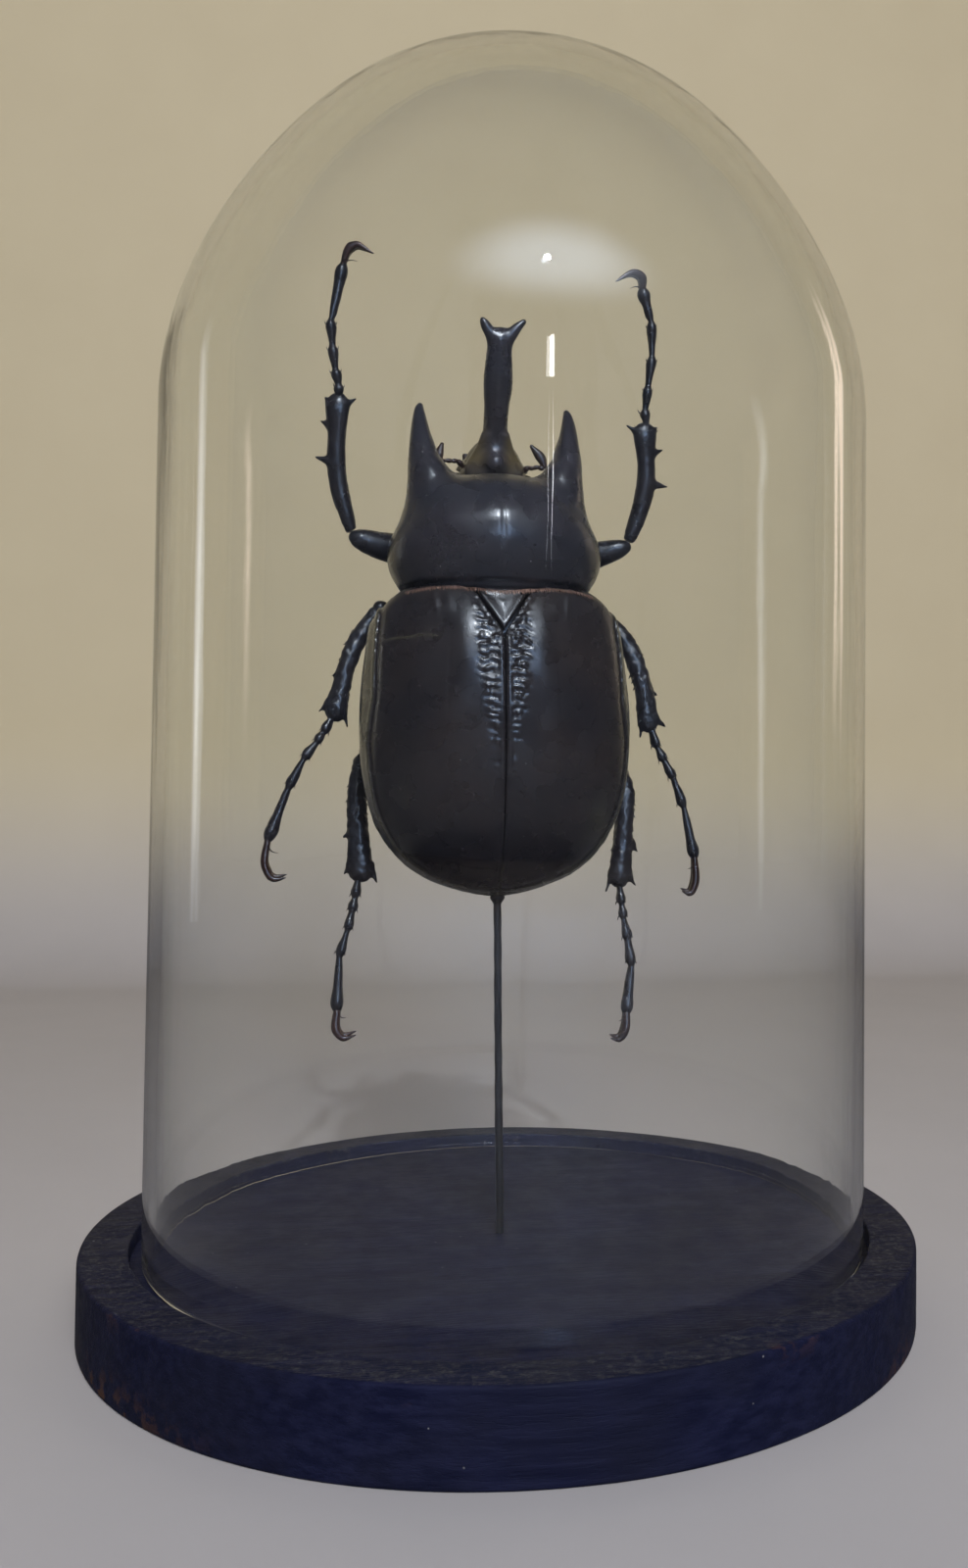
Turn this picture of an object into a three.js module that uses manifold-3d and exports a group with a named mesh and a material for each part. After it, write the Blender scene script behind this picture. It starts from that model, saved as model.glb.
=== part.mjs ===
// A dried horned beetle standing upright on a rod under a clear glass bell, on a round
// black wooden base. Millimetres, +Z up, the underside of the base on z = 0 and its axis
// on the z axis. The beetle's back faces -Y, its head points up.
import * as THREE from "three";
import { mergeVertices } from "three/addons/utils/BufferGeometryUtils.js";
import Module from "manifold-3d";

const wasm = await Module();
wasm.setup();

// ---- driving dimensions ----
const GAP = 0.3; // clearance between neighbouring pieces
const BASE = { radius: 81.5, height: 15.1, edge: 0.6, recessRadius: 72.6, floor: 12 };
const DOME = { radius: 71, wall: 2.4, top: 250.9, capHeight: 76, pinch: 0.05, shift: 0.6 };
const PIN = { radius: 0.8, bottom: -4.6, collar: 67.6, collarRadius: 1.7, top: 92 };
const STAND = { x: -1.6, z: 11.1, lean: THREE.MathUtils.degToRad(1) }; // foot of rod and beetle
const ROUND_STEPS = 36; // facets round the base and the bell

// Body outline in the beetle's own frame: [height up the body, half width, back, belly].
// The back and belly depths are measured from the side margin line at depth MARGIN.
const MARGIN = 2;
const ELYTRA = [
  [69.4, 3.5, 2.2],
  [70.6, 8.5, 5.4],
  [73, 14.6, 9.4],
  [77.2, 20.2, 13.6],
  [83.5, 24.6, 17.4],
  [92, 27, 20],
  [103, 27.9, 21.3],
  [113, 27.4, 21.2],
  [122, 26.4, 19.8],
  [128.5, 24.8, 17.8],
  [131.3, 20.6, 16],
];
const PRONOTUM = [
  [130.6, 17.5, 15.4, 10.5],
  [133.6, 20.6, 17.6, 12.5],
  [137.4, 21.9, 19.2, 14],
  [141.5, 21.9, 19.6, 14.4],
  [146, 19.4, 18.6, 13.6],
  [150.4, 16.4, 15.6, 11.6],
  [153.4, 12.4, 11.4, 8.6],
];
const THORAX = [
  [104.4, 21, 8, 13.5],
  [109, 23, 11, 15.2],
  [117, 23.4, 12.4, 15.6],
  [125, 21.4, 12, 14],
  [129.4, 16.5, 10, 10.6],
];
const ABDOMEN = [
  [70.4, 3.4, 0.6, 2.6],
  [72.6, 9.5, 2.4, 6],
  [76.5, 16, 5.4, 9.4],
  [83, 20.8, 9, 12],
  [92, 23.4, 11.6, 13.4],
  [100, 23.8, 12.4, 13.6],
  [103.6, 22, 9, 12.6],
];

const LEFT = -1;
const RIGHT = 1;

const DARK = {
  wood: { color: 0x1b1a20, roughness: 0.6, metalness: 0 },
  glass: { color: 0xeef2f0, roughness: 0.03, metalness: 0, transparent: true, opacity: 0.25 },
  steel: { color: 0x17161a, roughness: 0.4, metalness: 0.6 },
  shell: { color: 0x0e0d12, roughness: 0.22, metalness: 0 },
  leg: { color: 0x0d0c10, roughness: 0.32, metalness: 0 },
  brown: { color: 0x1a0f0b, roughness: 0.35, metalness: 0 },
};

// ---- solids ----
const toVector = ([x, y, z]) => new THREE.Vector3(x, y, z);

// Triangles from a closed skin over rings of points, each end closed by a fan.
function skin(rings) {
  const count = rings[0].length;
  const last = rings.length - 1;
  const points = rings.flat();
  const faces = [];
  const quad = (a, b, c, d) => faces.push(a, b, c, a, c, d);
  for (let ring = 0; ring < last; ring++)
    for (let i = 0; i < count; i++) {
      const next = (i + 1) % count;
      const low = ring * count;
      const high = low + count;
      quad(low + i, low + next, high + next, high + i);
    }
  for (const [ring, flip] of [[0, true], [last, false]]) {
    const centre = new THREE.Vector3();
    rings[ring].forEach((p) => centre.add(p));
    points.push(centre.divideScalar(count));
    for (let i = 0; i < count; i++) {
      const edge = [ring * count + i, ring * count + ((i + 1) % count)];
      if (flip) edge.reverse();
      faces.push(edge[0], edge[1], points.length - 1);
    }
  }
  return solidFrom(points, faces);
}

// A thick sheet between two grids of points (rows of equal length), closed round its rim.
function sheet(outer, inner) {
  const rows = outer.length;
  const columns = outer[0].length;
  const size = rows * columns;
  const faces = [];
  const quad = (a, b, c, d) => faces.push(a, b, c, a, c, d);
  for (let r = 0; r < rows - 1; r++)
    for (let c = 0; c < columns - 1; c++) {
      const a = r * columns + c;
      const b = a + columns;
      quad(a, a + 1, b + 1, b);
      quad(size + a, size + b, size + b + 1, size + a + 1);
    }
  const rim = [];
  for (let c = 0; c < columns - 1; c++) rim.push(c);
  for (let r = 0; r < rows - 1; r++) rim.push(r * columns + columns - 1);
  for (let c = columns - 1; c > 0; c--) rim.push((rows - 1) * columns + c);
  for (let r = rows - 1; r > 0; r--) rim.push(r * columns);
  rim.forEach((a, i) => {
    const b = rim[(i + 1) % rim.length];
    quad(b, a, size + a, size + b);
  });
  return solidFrom([...outer.flat(), ...inner.flat()], faces);
}

// A manifold solid from points and triangle indices, turned so that its faces point out.
function solidFrom(points, faces) {
  const geometry = new THREE.BufferGeometry().setFromPoints(points);
  geometry.setIndex(faces);
  return solidOf(geometry);
}

function solidOf(source) {
  const geometry = source.clone();
  geometry.deleteAttribute("normal");
  geometry.deleteAttribute("uv");
  const merged = mergeVertices(geometry, 1e-4);
  const vertProperties = merged.attributes.position.array;
  const triVerts = new Uint32Array(merged.index.array);
  const solid = new wasm.Manifold(new wasm.Mesh({ numProp: 3, vertProperties, triVerts }));
  if (solid.volume() > 0) return solid;
  triVerts.reverse();
  return new wasm.Manifold(new wasm.Mesh({ numProp: 3, vertProperties, triVerts }));
}

function geometryOf(solid) {
  const { numProp, vertProperties, triVerts } = solid.getMesh();
  const positions = new Float32Array((vertProperties.length / numProp) * 3);
  for (let i = 0; i < positions.length / 3; i++)
    for (let axis = 0; axis < 3; axis++)
      positions[i * 3 + axis] = vertProperties[i * numProp + axis];
  const geometry = new THREE.BufferGeometry();
  geometry.setAttribute("position", new THREE.BufferAttribute(positions, 3));
  geometry.setIndex(new THREE.BufferAttribute(new Uint32Array(triVerts), 1));
  geometry.computeVertexNormals();
  return geometry;
}

const union = (solids) => solids.reduce((whole, piece) => whole.add(piece));
const cutBy = (solid, cutters) => cutters.reduce((rest, cutter) => rest.subtract(cutter), solid);

// Solid of revolution about the z axis from [radius, height] points.
function turned(profile, steps) {
  const points = profile.map(([r, z]) => new THREE.Vector2(r, z));
  return new THREE.LatheGeometry(points, steps).rotateX(Math.PI / 2);
}

// A limb of oval sections along stations [x, depth, height, half width, half depth].
// `grow` fattens and lengthens it, for cutting a clearance into a neighbour.
function limb(stations, sides = 8, grow = 0) {
  const centres = stations.map(toVector);
  const rings = stations.map(([, , , wide, deep = wide], i) => {
    const before = centres[Math.max(i - 1, 0)];
    const after = centres[Math.min(i + 1, centres.length - 1)];
    const along = after.clone().sub(before).normalize();
    const across = new THREE.Vector3(0, 1, 0).cross(along).normalize();
    const through = along.clone().cross(across);
    const end = i === 0 ? -1 : i === centres.length - 1 ? 1 : 0;
    const centre = centres[i].clone().addScaledVector(along, end * grow);
    return Array.from({ length: sides }, (_, k) => {
      const angle = (2 * Math.PI * k) / sides;
      return centre
        .clone()
        .addScaledVector(across, Math.cos(angle) * (wide + grow))
        .addScaledVector(through, Math.sin(angle) * (deep + grow));
    });
  });
  return skin(rings);
}

// A body ring of oval slices [height, half width, back depth, belly depth].
// `tilt` lowers the back edge of the first slice, `full` squares the oval up a little.
function trunk(slices, { steps = 18, full = 2.3, grow = 0, tilt = 0 } = {}) {
  const last = slices.length - 1;
  const rings = slices.map(([height, wide, back, belly], i) => {
    const end = i === 0 ? -1 : i === last ? 1 : 0;
    return Array.from({ length: steps }, (_, k) => {
      const angle = (2 * Math.PI * k) / steps;
      const c = Math.cos(angle);
      const s = Math.sin(angle);
      const power = 2 / full;
      const depth = s < 0 ? back : belly;
      const x = Math.sign(c) * Math.abs(c) ** power * (wide + grow);
      const y = Math.sign(s) * Math.abs(s) ** power * (depth + grow);
      const drop = i === 0 && y < 0 ? (tilt * y) / back : 0;
      return new THREE.Vector3(x, MARGIN + y, height + end * grow + drop);
    });
  });
  return skin(rings);
}

const mirror = (stations, side) => stations.map(([x, ...rest]) => [x * side, ...rest]);

// ---- scene graph ----
const group = new THREE.Group();
const specimen = new THREE.Group(); // the rod and the beetle lean together from the rod's foot
specimen.position.set(STAND.x, 0, STAND.z);
specimen.rotation.y = -STAND.lean;
group.add(specimen);

function add(name, solid, look, parent = specimen) {
  const geometry = solid.isBufferGeometry ? solid : geometryOf(solid);
  const mesh = new THREE.Mesh(geometry, new THREE.MeshStandardMaterial(look));
  mesh.name = name;
  parent.add(mesh);
  return mesh;
}

// ---- rod ----
const rod = (grow) =>
  limb(
    [
      [0, 0, PIN.bottom, PIN.radius],
      [0, 0, PIN.collar, PIN.radius],
      [0, 0, PIN.collar + 1.5, PIN.collarRadius],
      [0, 0, PIN.collar + 1.8, PIN.collarRadius * 0.8],
      [0, 0, PIN.collar + 2.1, PIN.radius],
      [0, 0, PIN.top, PIN.radius],
    ],
    10,
    grow,
  );
const rodHole = rod(GAP);

// ---- base and bell ----
function makeBase() {
  const { radius, height, edge, recessRadius, floor } = BASE;
  const disc = turned(
    [
      [0, 0],
      [radius - edge, 0],
      [radius, edge],
      [radius, height - edge / 2],
      [radius - edge / 2, height],
      [recessRadius, height],
      [recessRadius, floor],
      [0, floor],
    ],
    ROUND_STEPS,
  );
  specimen.updateMatrixWorld(true);
  const hole = geometryOf(rodHole).applyMatrix4(specimen.matrixWorld);
  return solidOf(disc).subtract(solidOf(hole));
}

// One wall of the bell, from the apex down to its foot.
function domeWall(inset) {
  const radius = DOME.radius - inset;
  const cap = DOME.capHeight - inset;
  const points = [];
  const steps = 8;
  for (let i = 0; i <= steps; i++) {
    const angle = (Math.PI / 2) * (i / steps);
    const narrow = 1 - DOME.pinch * Math.sin(2 * angle) ** 2;
    const drop = cap * (1 - Math.cos(angle));
    points.push([radius * Math.sin(angle) * narrow, DOME.top - inset - drop]);
  }
  return points;
}

function makeDome() {
  const foot = BASE.floor + GAP;
  const outer = domeWall(0);
  const inner = domeWall(DOME.wall).reverse();
  const bell = turned(
    [
      ...outer,
      [DOME.radius, foot + DOME.wall / 2],
      [DOME.radius - DOME.wall / 2, foot],
      [DOME.radius - DOME.wall, foot + DOME.wall / 2],
      ...inner,
    ],
    ROUND_STEPS,
  );
  return solidOf(bell);
}

add("base", makeBase(), DARK.wood, group);
add("glass_dome", makeDome(), DARK.glass, group).position.x = DOME.shift;
add("mounting_pin", rod(0), DARK.steel);

// ---- front body ring with its two horns ----
const PRONOTUM_HORN = [
  [12.2, -3, 147, 5.6, 6.4],
  [13.4, -3.4, 153.4, 4.6, 5.2],
  [14.6, -3, 158, 3.1, 3.6],
  [15.3, -2, 163.5, 2, 2.3],
  [15.5, -0.8, 168, 1.15, 1.3],
  [15.1, 0, 170.3, 0.35, 0.4],
];
const pronotumBody = (grow) => trunk(PRONOTUM, { grow, tilt: 2.2, steps: 20 });
const pronotumWhole = union([
  pronotumBody(0),
  limb(mirror(PRONOTUM_HORN, LEFT), 10),
  limb(mirror(PRONOTUM_HORN, RIGHT), 10),
]);

// ---- head with the forked horn ----
const HEAD_CAPSULE = [
  [0, 3.5, 150.6, 6.6, 5],
  [0, 3.8, 153.6, 7.4, 5.8],
  [0, 4, 156.8, 7, 5.6],
  [0, 4.6, 160, 5.2, 4.6],
  [0, 5.4, 163, 3.4, 2.6],
];
const HEAD_HORN = [
  [0, 3.4, 156, 5.6, 4],
  [0, 1.4, 160.6, 3.9, 3.2],
  [0, -1.2, 164.2, 2.6, 2.6],
  [0, -4.6, 169, 2.6, 2.5],
  [0, -8, 174.4, 2.75, 2.3],
  [0, -10.8, 179.2, 2.6, 1.9],
  [0, -12, 182.2, 2.5, 1.5],
];
const HORN_PRONG = [
  [0.9, -11.3, 180.2, 1.7, 1.5],
  [2.6, -12, 182.2, 1.3, 1.1],
  [4.3, -12.3, 184, 0.4, 0.4],
];
const headParts = (grow) =>
  union([
    limb(HEAD_CAPSULE, 12, grow),
    limb(HEAD_HORN, 10, grow),
    limb(mirror(HORN_PRONG, LEFT), 6, grow),
    limb(mirror(HORN_PRONG, RIGHT), 6, grow),
  ]);

const EYE = [
  [0, 5.2, 152.9, 1, 1.2],
  [0, 5.2, 154.1, 2, 2.2],
  [0, 5.2, 156.2, 2, 2.2],
  [0, 5.2, 157.4, 1, 1.2],
];
const EYE_SIDE = 7.4;
const eye = (side, grow = 0) =>
  limb(
    EYE.map(([x, ...rest]) => [x + side * EYE_SIDE, ...rest]),
    8,
    grow,
  );

const ANTENNAE = [
  [LEFT, [[-6.4, 1.8, 158.2, 0.7], [-8.6, 0.4, 158.8, 0.5], [-10.7, 0, 158.4, 0.75],
    [-11.9, 0, 158.8, 0.9], [-11.6, 0, 160.4, 1.05, 0.8], [-11, 0, 162, 0.5]]],
  [RIGHT, [[6.2, 1.8, 157.6, 0.7], [7.8, 0.4, 158.1, 0.5], [9.4, 0, 157.8, 0.7],
    [10.3, 0, 158.9, 0.95], [9.2, 0, 160.9, 1.05, 0.8], [7.8, 0, 162.5, 0.5]]],
];

// ---- wing cases ----
const SHELL_THICKNESS = 1.2;
const SEAM = 0.18; // half the gap along the middle line
const SCUTELLUM_SHAPE = { front: 129.3, tip: 121.3, half: 5.1, back: -18.6, belly: -12 };

function scutellum(grow) {
  const { front, tip, half, back, belly } = SCUTELLUM_SHAPE;
  const outline = [
    [-half - grow, front + grow],
    [half + grow, front + grow],
    [0, tip - 2 * grow],
  ];
  const rings = [belly + grow, back - grow].map((depth) =>
    outline.map(([x, z]) => {
      const fall = Math.max(0, (z - tip) / (front - tip)) * 2.2;
      return new THREE.Vector3(x, depth + (depth < -15 ? fall : 0), z);
    }),
  );
  return skin(rings);
}

// One half of the wing-case vault at one height, from the seam round to the margin.
function vault([height, half, back], side, inset) {
  const columns = 8;
  const from = Math.asin(SEAM / half);
  const to = THREE.MathUtils.degToRad(102);
  const front = ELYTRA.at(-1)[0];
  return Array.from({ length: columns }, (_, i) => {
    const angle = from + (to - from) * (i / (columns - 1));
    const c = Math.cos(angle);
    const wide = half - inset;
    const deep = back - inset;
    const depth = -Math.sign(c) * Math.abs(c) ** 0.85 * deep;
    const tuck = height === front ? 2.2 * Math.max(0, c) : 0;
    const x = Math.max(Math.sin(angle) * wide, SEAM);
    return new THREE.Vector3(side * x, MARGIN + depth, height - tuck);
  });
}

function elytron(side) {
  const outer = ELYTRA.map((slice) => vault(slice, side, 0));
  const inner = ELYTRA.map((slice) => vault(slice, side, SHELL_THICKNESS));
  return cutBy(sheet(outer, inner), [scutellum(GAP), pronotumBody(GAP), rodHole]);
}

// ---- legs ----
// Stations per piece as [x, depth, height, half width, half depth]; x grows to the right.
// Teeth and spurs are cones given as [root, tip, root radius].
const LEGS = {
  front_left: {
    coxa: [[-5.4, 13.6, 139.4, 2.4, 2.6], [-9.6, 13.8, 140.4, 3.6, 3.4], [-13, 13.4, 141, 2.4, 2.4]],
    femur: [[-13.9, 13, 141.2, 2.2, 2.2], [-18.4, 10.8, 141.8, 3.2, 2.8], [-23.4, 8.6, 142.4, 2.9, 2.5],
      [-27.4, 7.4, 143.2, 2.2, 2], [-28.9, 7, 143.6, 1.2, 1.2]],
    tibia: [[-29.7, 6.9, 145.6, 1.3, 1.2], [-30.6, 6.6, 148.4, 1.7, 1.5], [-32.1, 6, 154, 2, 1.6],
      [-32.6, 5, 160, 2, 1.6], [-32.4, 4.2, 165, 2, 1.5], [-32.2, 3.4, 169.4, 2.5, 1.5],
      [-32, 3.2, 170.9, 1.7, 1.1]],
    teeth: [[[-33.4, 5, 158.6], [-36.6, 4.6, 159.4], 1.2], [[-33.2, 4.2, 165.6], [-35.8, 3.9, 166.7], 1.1],
      [[-33, 3.4, 169.2], [-34.8, 3.2, 171.4], 1.1], [[-31, 3.4, 169.8], [-28.4, 3, 171.4], 1]],
    tarsus: [[-32.1, 2.8, 171.6], [-32, 2.4, 173.4], [-32.6, 1.8, 176.4], [-33.2, 1.1, 181.2],
      [-33.5, 0.5, 186.2], [-31.1, -0.1, 198.2]],
    claws: [[-30.3, -0.9, 201.6], [-28.2, -1.3, 202.9], [-25, -2, 200.9]],
  },
  front_right: {
    coxa: [[5.4, 13.6, 139.4, 2.4, 2.6], [9.6, 13.8, 140, 3.6, 3.4], [13, 13.4, 140.6, 2.4, 2.4]],
    femur: [[13.9, 13, 140.8, 2.2, 2.2], [18.4, 10.8, 141.2, 3.2, 2.8], [23, 8.6, 141.9, 2.8, 2.5],
      [27.2, 7.4, 142.9, 2.1, 2], [28.9, 7, 143.4, 1.2, 1.2]],
    tibia: [[29.7, 6.9, 145.4, 1.3, 1.2], [30.9, 6.6, 148.4, 1.7, 1.5], [32.2, 6, 152.6, 1.9, 1.6],
      [32.9, 5, 157.8, 1.9, 1.6], [32.8, 4.3, 162, 1.9, 1.5], [32.4, 3.4, 166.6, 2.4, 1.5],
      [32.4, 3.2, 168, 1.6, 1.1]],
    teeth: [[[33.8, 5, 156.8], [37.3, 4.6, 156.2], 1.2], [[33.8, 4.2, 163], [36.1, 3.9, 163.9], 1.1],
      [[33.4, 3.4, 166.6], [34.9, 3.2, 168.6], 1.1], [[31.4, 3.4, 167], [28.4, 3, 168.6], 1]],
    tarsus: [[32.6, 2.8, 168.8], [32.2, 2.4, 171.6], [32.8, 1.8, 176.6], [33.6, 1.1, 183],
      [33.4, 0.5, 190.3], [31.5, -0.1, 197.2]],
    claws: [[31.1, -0.9, 199.7], [28.8, -1.3, 200.2], [25.6, -2, 198]],
  },
  middle_left: {
    coxa: [[-4.6, 16, 117.6, 2.6, 2.6], [-9.4, 16.6, 119, 3.6, 3], [-12.6, 16.8, 120.6, 2.2, 2.2]],
    femur: [[-13.2, 17, 121.6, 2, 2], [-16.6, 17.4, 124.4, 3, 2.6], [-20.4, 17, 127.8, 2.8, 2.4],
      [-23.4, 16, 130.4, 1.9, 1.8]],
    tibia: [[-24.6, 15, 129.2, 1.4, 1.4], [-27.4, 14, 124.8, 1.8, 1.5], [-30.2, 13.2, 118.8, 2, 1.6],
      [-31.8, 12.6, 112.6, 2, 1.5], [-32.8, 12.1, 108.4, 2.3, 1.5], [-33.1, 12, 107.3, 1.6, 1.1]],
    teeth: [[[-31, 13, 116.4], [-33.2, 12.8, 115.4], 1], [[-33.8, 12.3, 109.6], [-36.4, 12, 107.8], 1.1],
      [[-31.4, 12.2, 108.6], [-30.4, 12, 104.6], 0.8]],
    tarsus: [[-33.7, 12, 106.4], [-35.2, 11.7, 103.6], [-36.6, 11.3, 101.6], [-39.3, 10.8, 98],
      [-42.5, 10.2, 91.8], [-46.4, 9.2, 81.2]],
    claws: [[-47, 8.7, 76.4], [-45.4, 8.4, 73.4], [-42.7, 8, 73.6]],
  },
  middle_right: {
    coxa: [[4.6, 16, 117.6, 2.6, 2.6], [9.4, 16.6, 119, 3.6, 3], [12.6, 16.8, 120.6, 2.2, 2.2]],
    femur: [[13.2, 17, 121.6, 2, 2], [17, 17.4, 124.2, 3, 2.6], [21.6, 17, 127, 2.8, 2.4],
      [26.2, 16, 129.4, 1.9, 1.8]],
    tibia: [[28, 15, 127.6, 1.4, 1.4], [30, 14, 124.4, 1.8, 1.5], [32.4, 13.2, 118.6, 2, 1.6],
      [33.8, 12.6, 112.6, 2, 1.5], [34.5, 12.1, 106.8, 2.3, 1.5], [34.7, 12, 105.4, 1.6, 1.1]],
    teeth: [[[34, 13, 113.6], [36.6, 12.8, 112], 1], [[35.6, 12.3, 107.2], [38.4, 12, 105], 1.1],
      [[33.2, 12.2, 107], [32.6, 12, 102.6], 0.8]],
    tarsus: [[35.2, 12, 104.6], [36.4, 11.7, 100.6], [37.8, 11.3, 97.8], [39.8, 10.8, 93.8],
      [42, 10.2, 87.4], [44.2, 9, 76.4]],
    claws: [[44.2, 8.6, 71.4], [43, 8.4, 68.8], [40.9, 8, 69.3]],
  },
  hind_left: {
    coxa: [[-3.4, 15.4, 105.8, 2.4, 2.6], [-9.4, 16.2, 105.8, 3.6, 3], [-13, 16.6, 105, 2.2, 2.2]],
    femur: [[-14, 16.8, 104.6, 2, 2], [-18, 17.6, 103, 3.3, 2.6], [-22.6, 17.4, 101.2, 3, 2.4],
      [-26.2, 16.6, 99.4, 2, 1.9]],
    tibia: [[-27.6, 15.6, 97.6, 1.5, 1.4], [-28.4, 14.9, 92.6, 1.9, 1.6], [-28.5, 14.4, 87.4, 2.1, 1.7],
      [-28.2, 13.9, 81.6, 2.2, 1.6], [-27.7, 13.2, 75, 2.7, 1.6], [-27.6, 13.1, 73.9, 1.8, 1.2]],
    teeth: [[[-29.6, 14.2, 82.6], [-31.4, 14, 81.4], 1], [[-29.4, 13.3, 76], [-31.2, 13.1, 73.6], 1.1],
      [[-25.8, 13.3, 75.4], [-24.2, 13, 71.6], 1]],
    tarsus: [[-28.2, 13, 72.8], [-28.8, 12.6, 69], [-29.4, 12.2, 66.2], [-30.4, 11.7, 62.2],
      [-32.2, 11, 56.8], [-32.7, 9.9, 45.8]],
    claws: [[-32.9, 9.5, 42], [-31.4, 9.4, 40.2], [-28.8, 9, 40.9]],
  },
  hind_right: {
    coxa: [[3.4, 15.4, 105.8, 2.4, 2.6], [9.4, 16.2, 105.8, 3.6, 3], [13, 16.6, 105, 2.2, 2.2]],
    femur: [[14, 16.8, 104.6, 2, 2], [18.4, 17.6, 102.4, 3.3, 2.6], [23.4, 17.4, 99.8, 3, 2.4],
      [27.8, 16.6, 97, 2, 1.9]],
    tibia: [[29.4, 15.6, 95, 1.5, 1.4], [30, 14.9, 91, 1.9, 1.6], [29.7, 14.4, 86, 2, 1.7],
      [29.2, 13.9, 80, 2, 1.6], [28.4, 13.2, 73, 2.3, 1.6], [28.2, 13.1, 71.4, 1.6, 1.2]],
    teeth: [[[31, 14.2, 79.4], [32.4, 14, 77.6], 1], [[29.8, 13.3, 73], [31.8, 13.1, 70.2], 1.1],
      [[26.8, 13.3, 73], [25.2, 13, 69.2], 1]],
    tarsus: [[28.2, 13, 70.3], [28.6, 12.6, 66.6], [28.9, 12.2, 63.6], [29.7, 11.8, 58.8],
      [30.4, 11.2, 53.3], [29, 10, 43.2]],
    claws: [[28.6, 9.6, 40], [27.3, 9.5, 37.8], [25.2, 9, 38.2]],
  },
};

const COXA_SIDES = 10;
const FEMUR_SIDES = 10;
const TIBIA_SIDES = 8;
const TARSUS_SIDES = 6;

// A cone from its root to its tip.
const cone = ([root, tip, radius]) =>
  limb([[...root, radius], [...tip, radius * 0.2]], 5);

// A point a clearance past `from`, towards `to`.
const stepOff = (from, to) => {
  const start = toVector(from);
  return start.addScaledVector(toVector(to).sub(start).normalize(), GAP).toArray();
};

// Five tarsal joints, each widening towards its far end; the last is the longest and stoutest.
function tarsusStations(joints, tibiaEnd) {
  const knots = [stepOff(tibiaEnd, joints[0]), ...joints.slice(1)];
  const stations = [];
  for (let i = 0; i < knots.length - 1; i++) {
    const isLast = i === knots.length - 2;
    const thick = isLast ? 1.3 : 1.05;
    const from = toVector(knots[i]);
    const to = toVector(knots[i + 1]);
    const place = (t, radius) => [...from.clone().lerp(to, t).toArray(), radius];
    stations.push(place(i === 0 ? 0 : 0.08, 0.6), place(isLast ? 0.85 : 0.8, thick));
  }
  stations.push([...knots.at(-1), 0.7]);
  return stations;
}

function makeClaws(bend, tarsusEnd) {
  const radii = [0.7, 0.95, 0.75, 0.2];
  const knots = [stepOff(tarsusEnd, bend[0]), ...bend];
  return limb(knots.map((point, i) => [...point, radii[i]]), TARSUS_SIDES);
}

const coxaHoles = {};
for (const [name, leg] of Object.entries(LEGS)) {
  const place = name.split("_")[0];
  coxaHoles[place] = coxaHoles[place] ?? [];
  coxaHoles[place].push(limb(leg.coxa, COXA_SIDES, GAP));
  const tibia = union([limb(leg.tibia, TIBIA_SIDES), ...leg.teeth.map(cone)]);
  const femurHole = limb(leg.femur, FEMUR_SIDES, GAP);
  const tarsus = limb(tarsusStations(leg.tarsus, leg.tibia.at(-1).slice(0, 3)), TARSUS_SIDES);
  const coxaHole = limb(leg.coxa, COXA_SIDES, GAP);
  const body = [pronotumBody(GAP), trunk(THORAX, { grow: GAP })];
  add(`${name}_coxa`, limb(leg.coxa, COXA_SIDES), DARK.leg);
  add(`${name}_femur`, cutBy(limb(leg.femur, FEMUR_SIDES), [coxaHole, ...body]), DARK.leg);
  add(`${name}_tibia`, cutBy(tibia, [femurHole]), DARK.leg);
  add(`${name}_tarsus`, cutBy(tarsus, [limb(leg.tibia, TIBIA_SIDES, GAP)]), DARK.leg);
  add(`${name}_claws`, makeClaws(leg.claws, leg.tarsus.at(-1)), DARK.brown);
}

// ---- trunk pieces, each cleared from its neighbours ----
const headHole = headParts(GAP);
const headCuts = [eye(LEFT, GAP), eye(RIGHT, GAP)];
const head = cutBy(headParts(0), headCuts);
add("pronotum", cutBy(pronotumWhole, [headHole, ...headCuts, ...coxaHoles.front]), DARK.shell);
add("head", head, DARK.shell);
add("eye_left", eye(LEFT), DARK.shell);
add("eye_right", eye(RIGHT), DARK.shell);
for (const [side, stations] of ANTENNAE)
  add(
    side === LEFT ? "antenna_left" : "antenna_right",
    cutBy(limb(stations, TARSUS_SIDES), [headHole, ...headCuts]),
    DARK.brown,
  );

const MOUTH_SIDES = 6;
const MOUTH = {
  jaw: [[1.6, 8.6, 159, 1.8, 1.5], [2.4, 8.8, 162.4, 1.4, 1.2], [1.8, 8.4, 165, 0.4, 0.4]],
  palp: [[2.4, 10, 157.4, 0.8, 0.8], [5, 10.6, 159.8, 0.7, 0.7], [5.2, 10.4, 162.6, 0.5, 0.5]],
  chin: [[0, 9.4, 153.8, 3, 1.4], [0, 10, 158, 3.2, 1.4], [0, 9.6, 160.6, 2.2, 1.1]],
};
const mouth = union([
  limb(MOUTH.chin, MOUTH_SIDES),
  ...[LEFT, RIGHT].flatMap((side) => [
    limb(mirror(MOUTH.jaw, side), MOUTH_SIDES),
    limb(mirror(MOUTH.palp, side), MOUTH_SIDES),
  ]),
]);
add("mouthparts", cutBy(mouth, [headHole, pronotumBody(GAP)]), DARK.brown);

add("scutellum", cutBy(scutellum(0), [pronotumBody(GAP), trunk(THORAX, { grow: GAP })]), DARK.shell);
add("elytron_left", elytron(LEFT), DARK.shell);
add("elytron_right", elytron(RIGHT), DARK.shell);
const thoraxCuts = [pronotumBody(GAP), rodHole, ...coxaHoles.middle, ...coxaHoles.hind];
add("thorax_underside", cutBy(trunk(THORAX), thoraxCuts), DARK.shell);
const abdomenCuts = [rodHole, ...coxaHoles.hind];
add("abdomen", cutBy(trunk(ABDOMEN), abdomenCuts), DARK.shell);

export default group;
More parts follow.
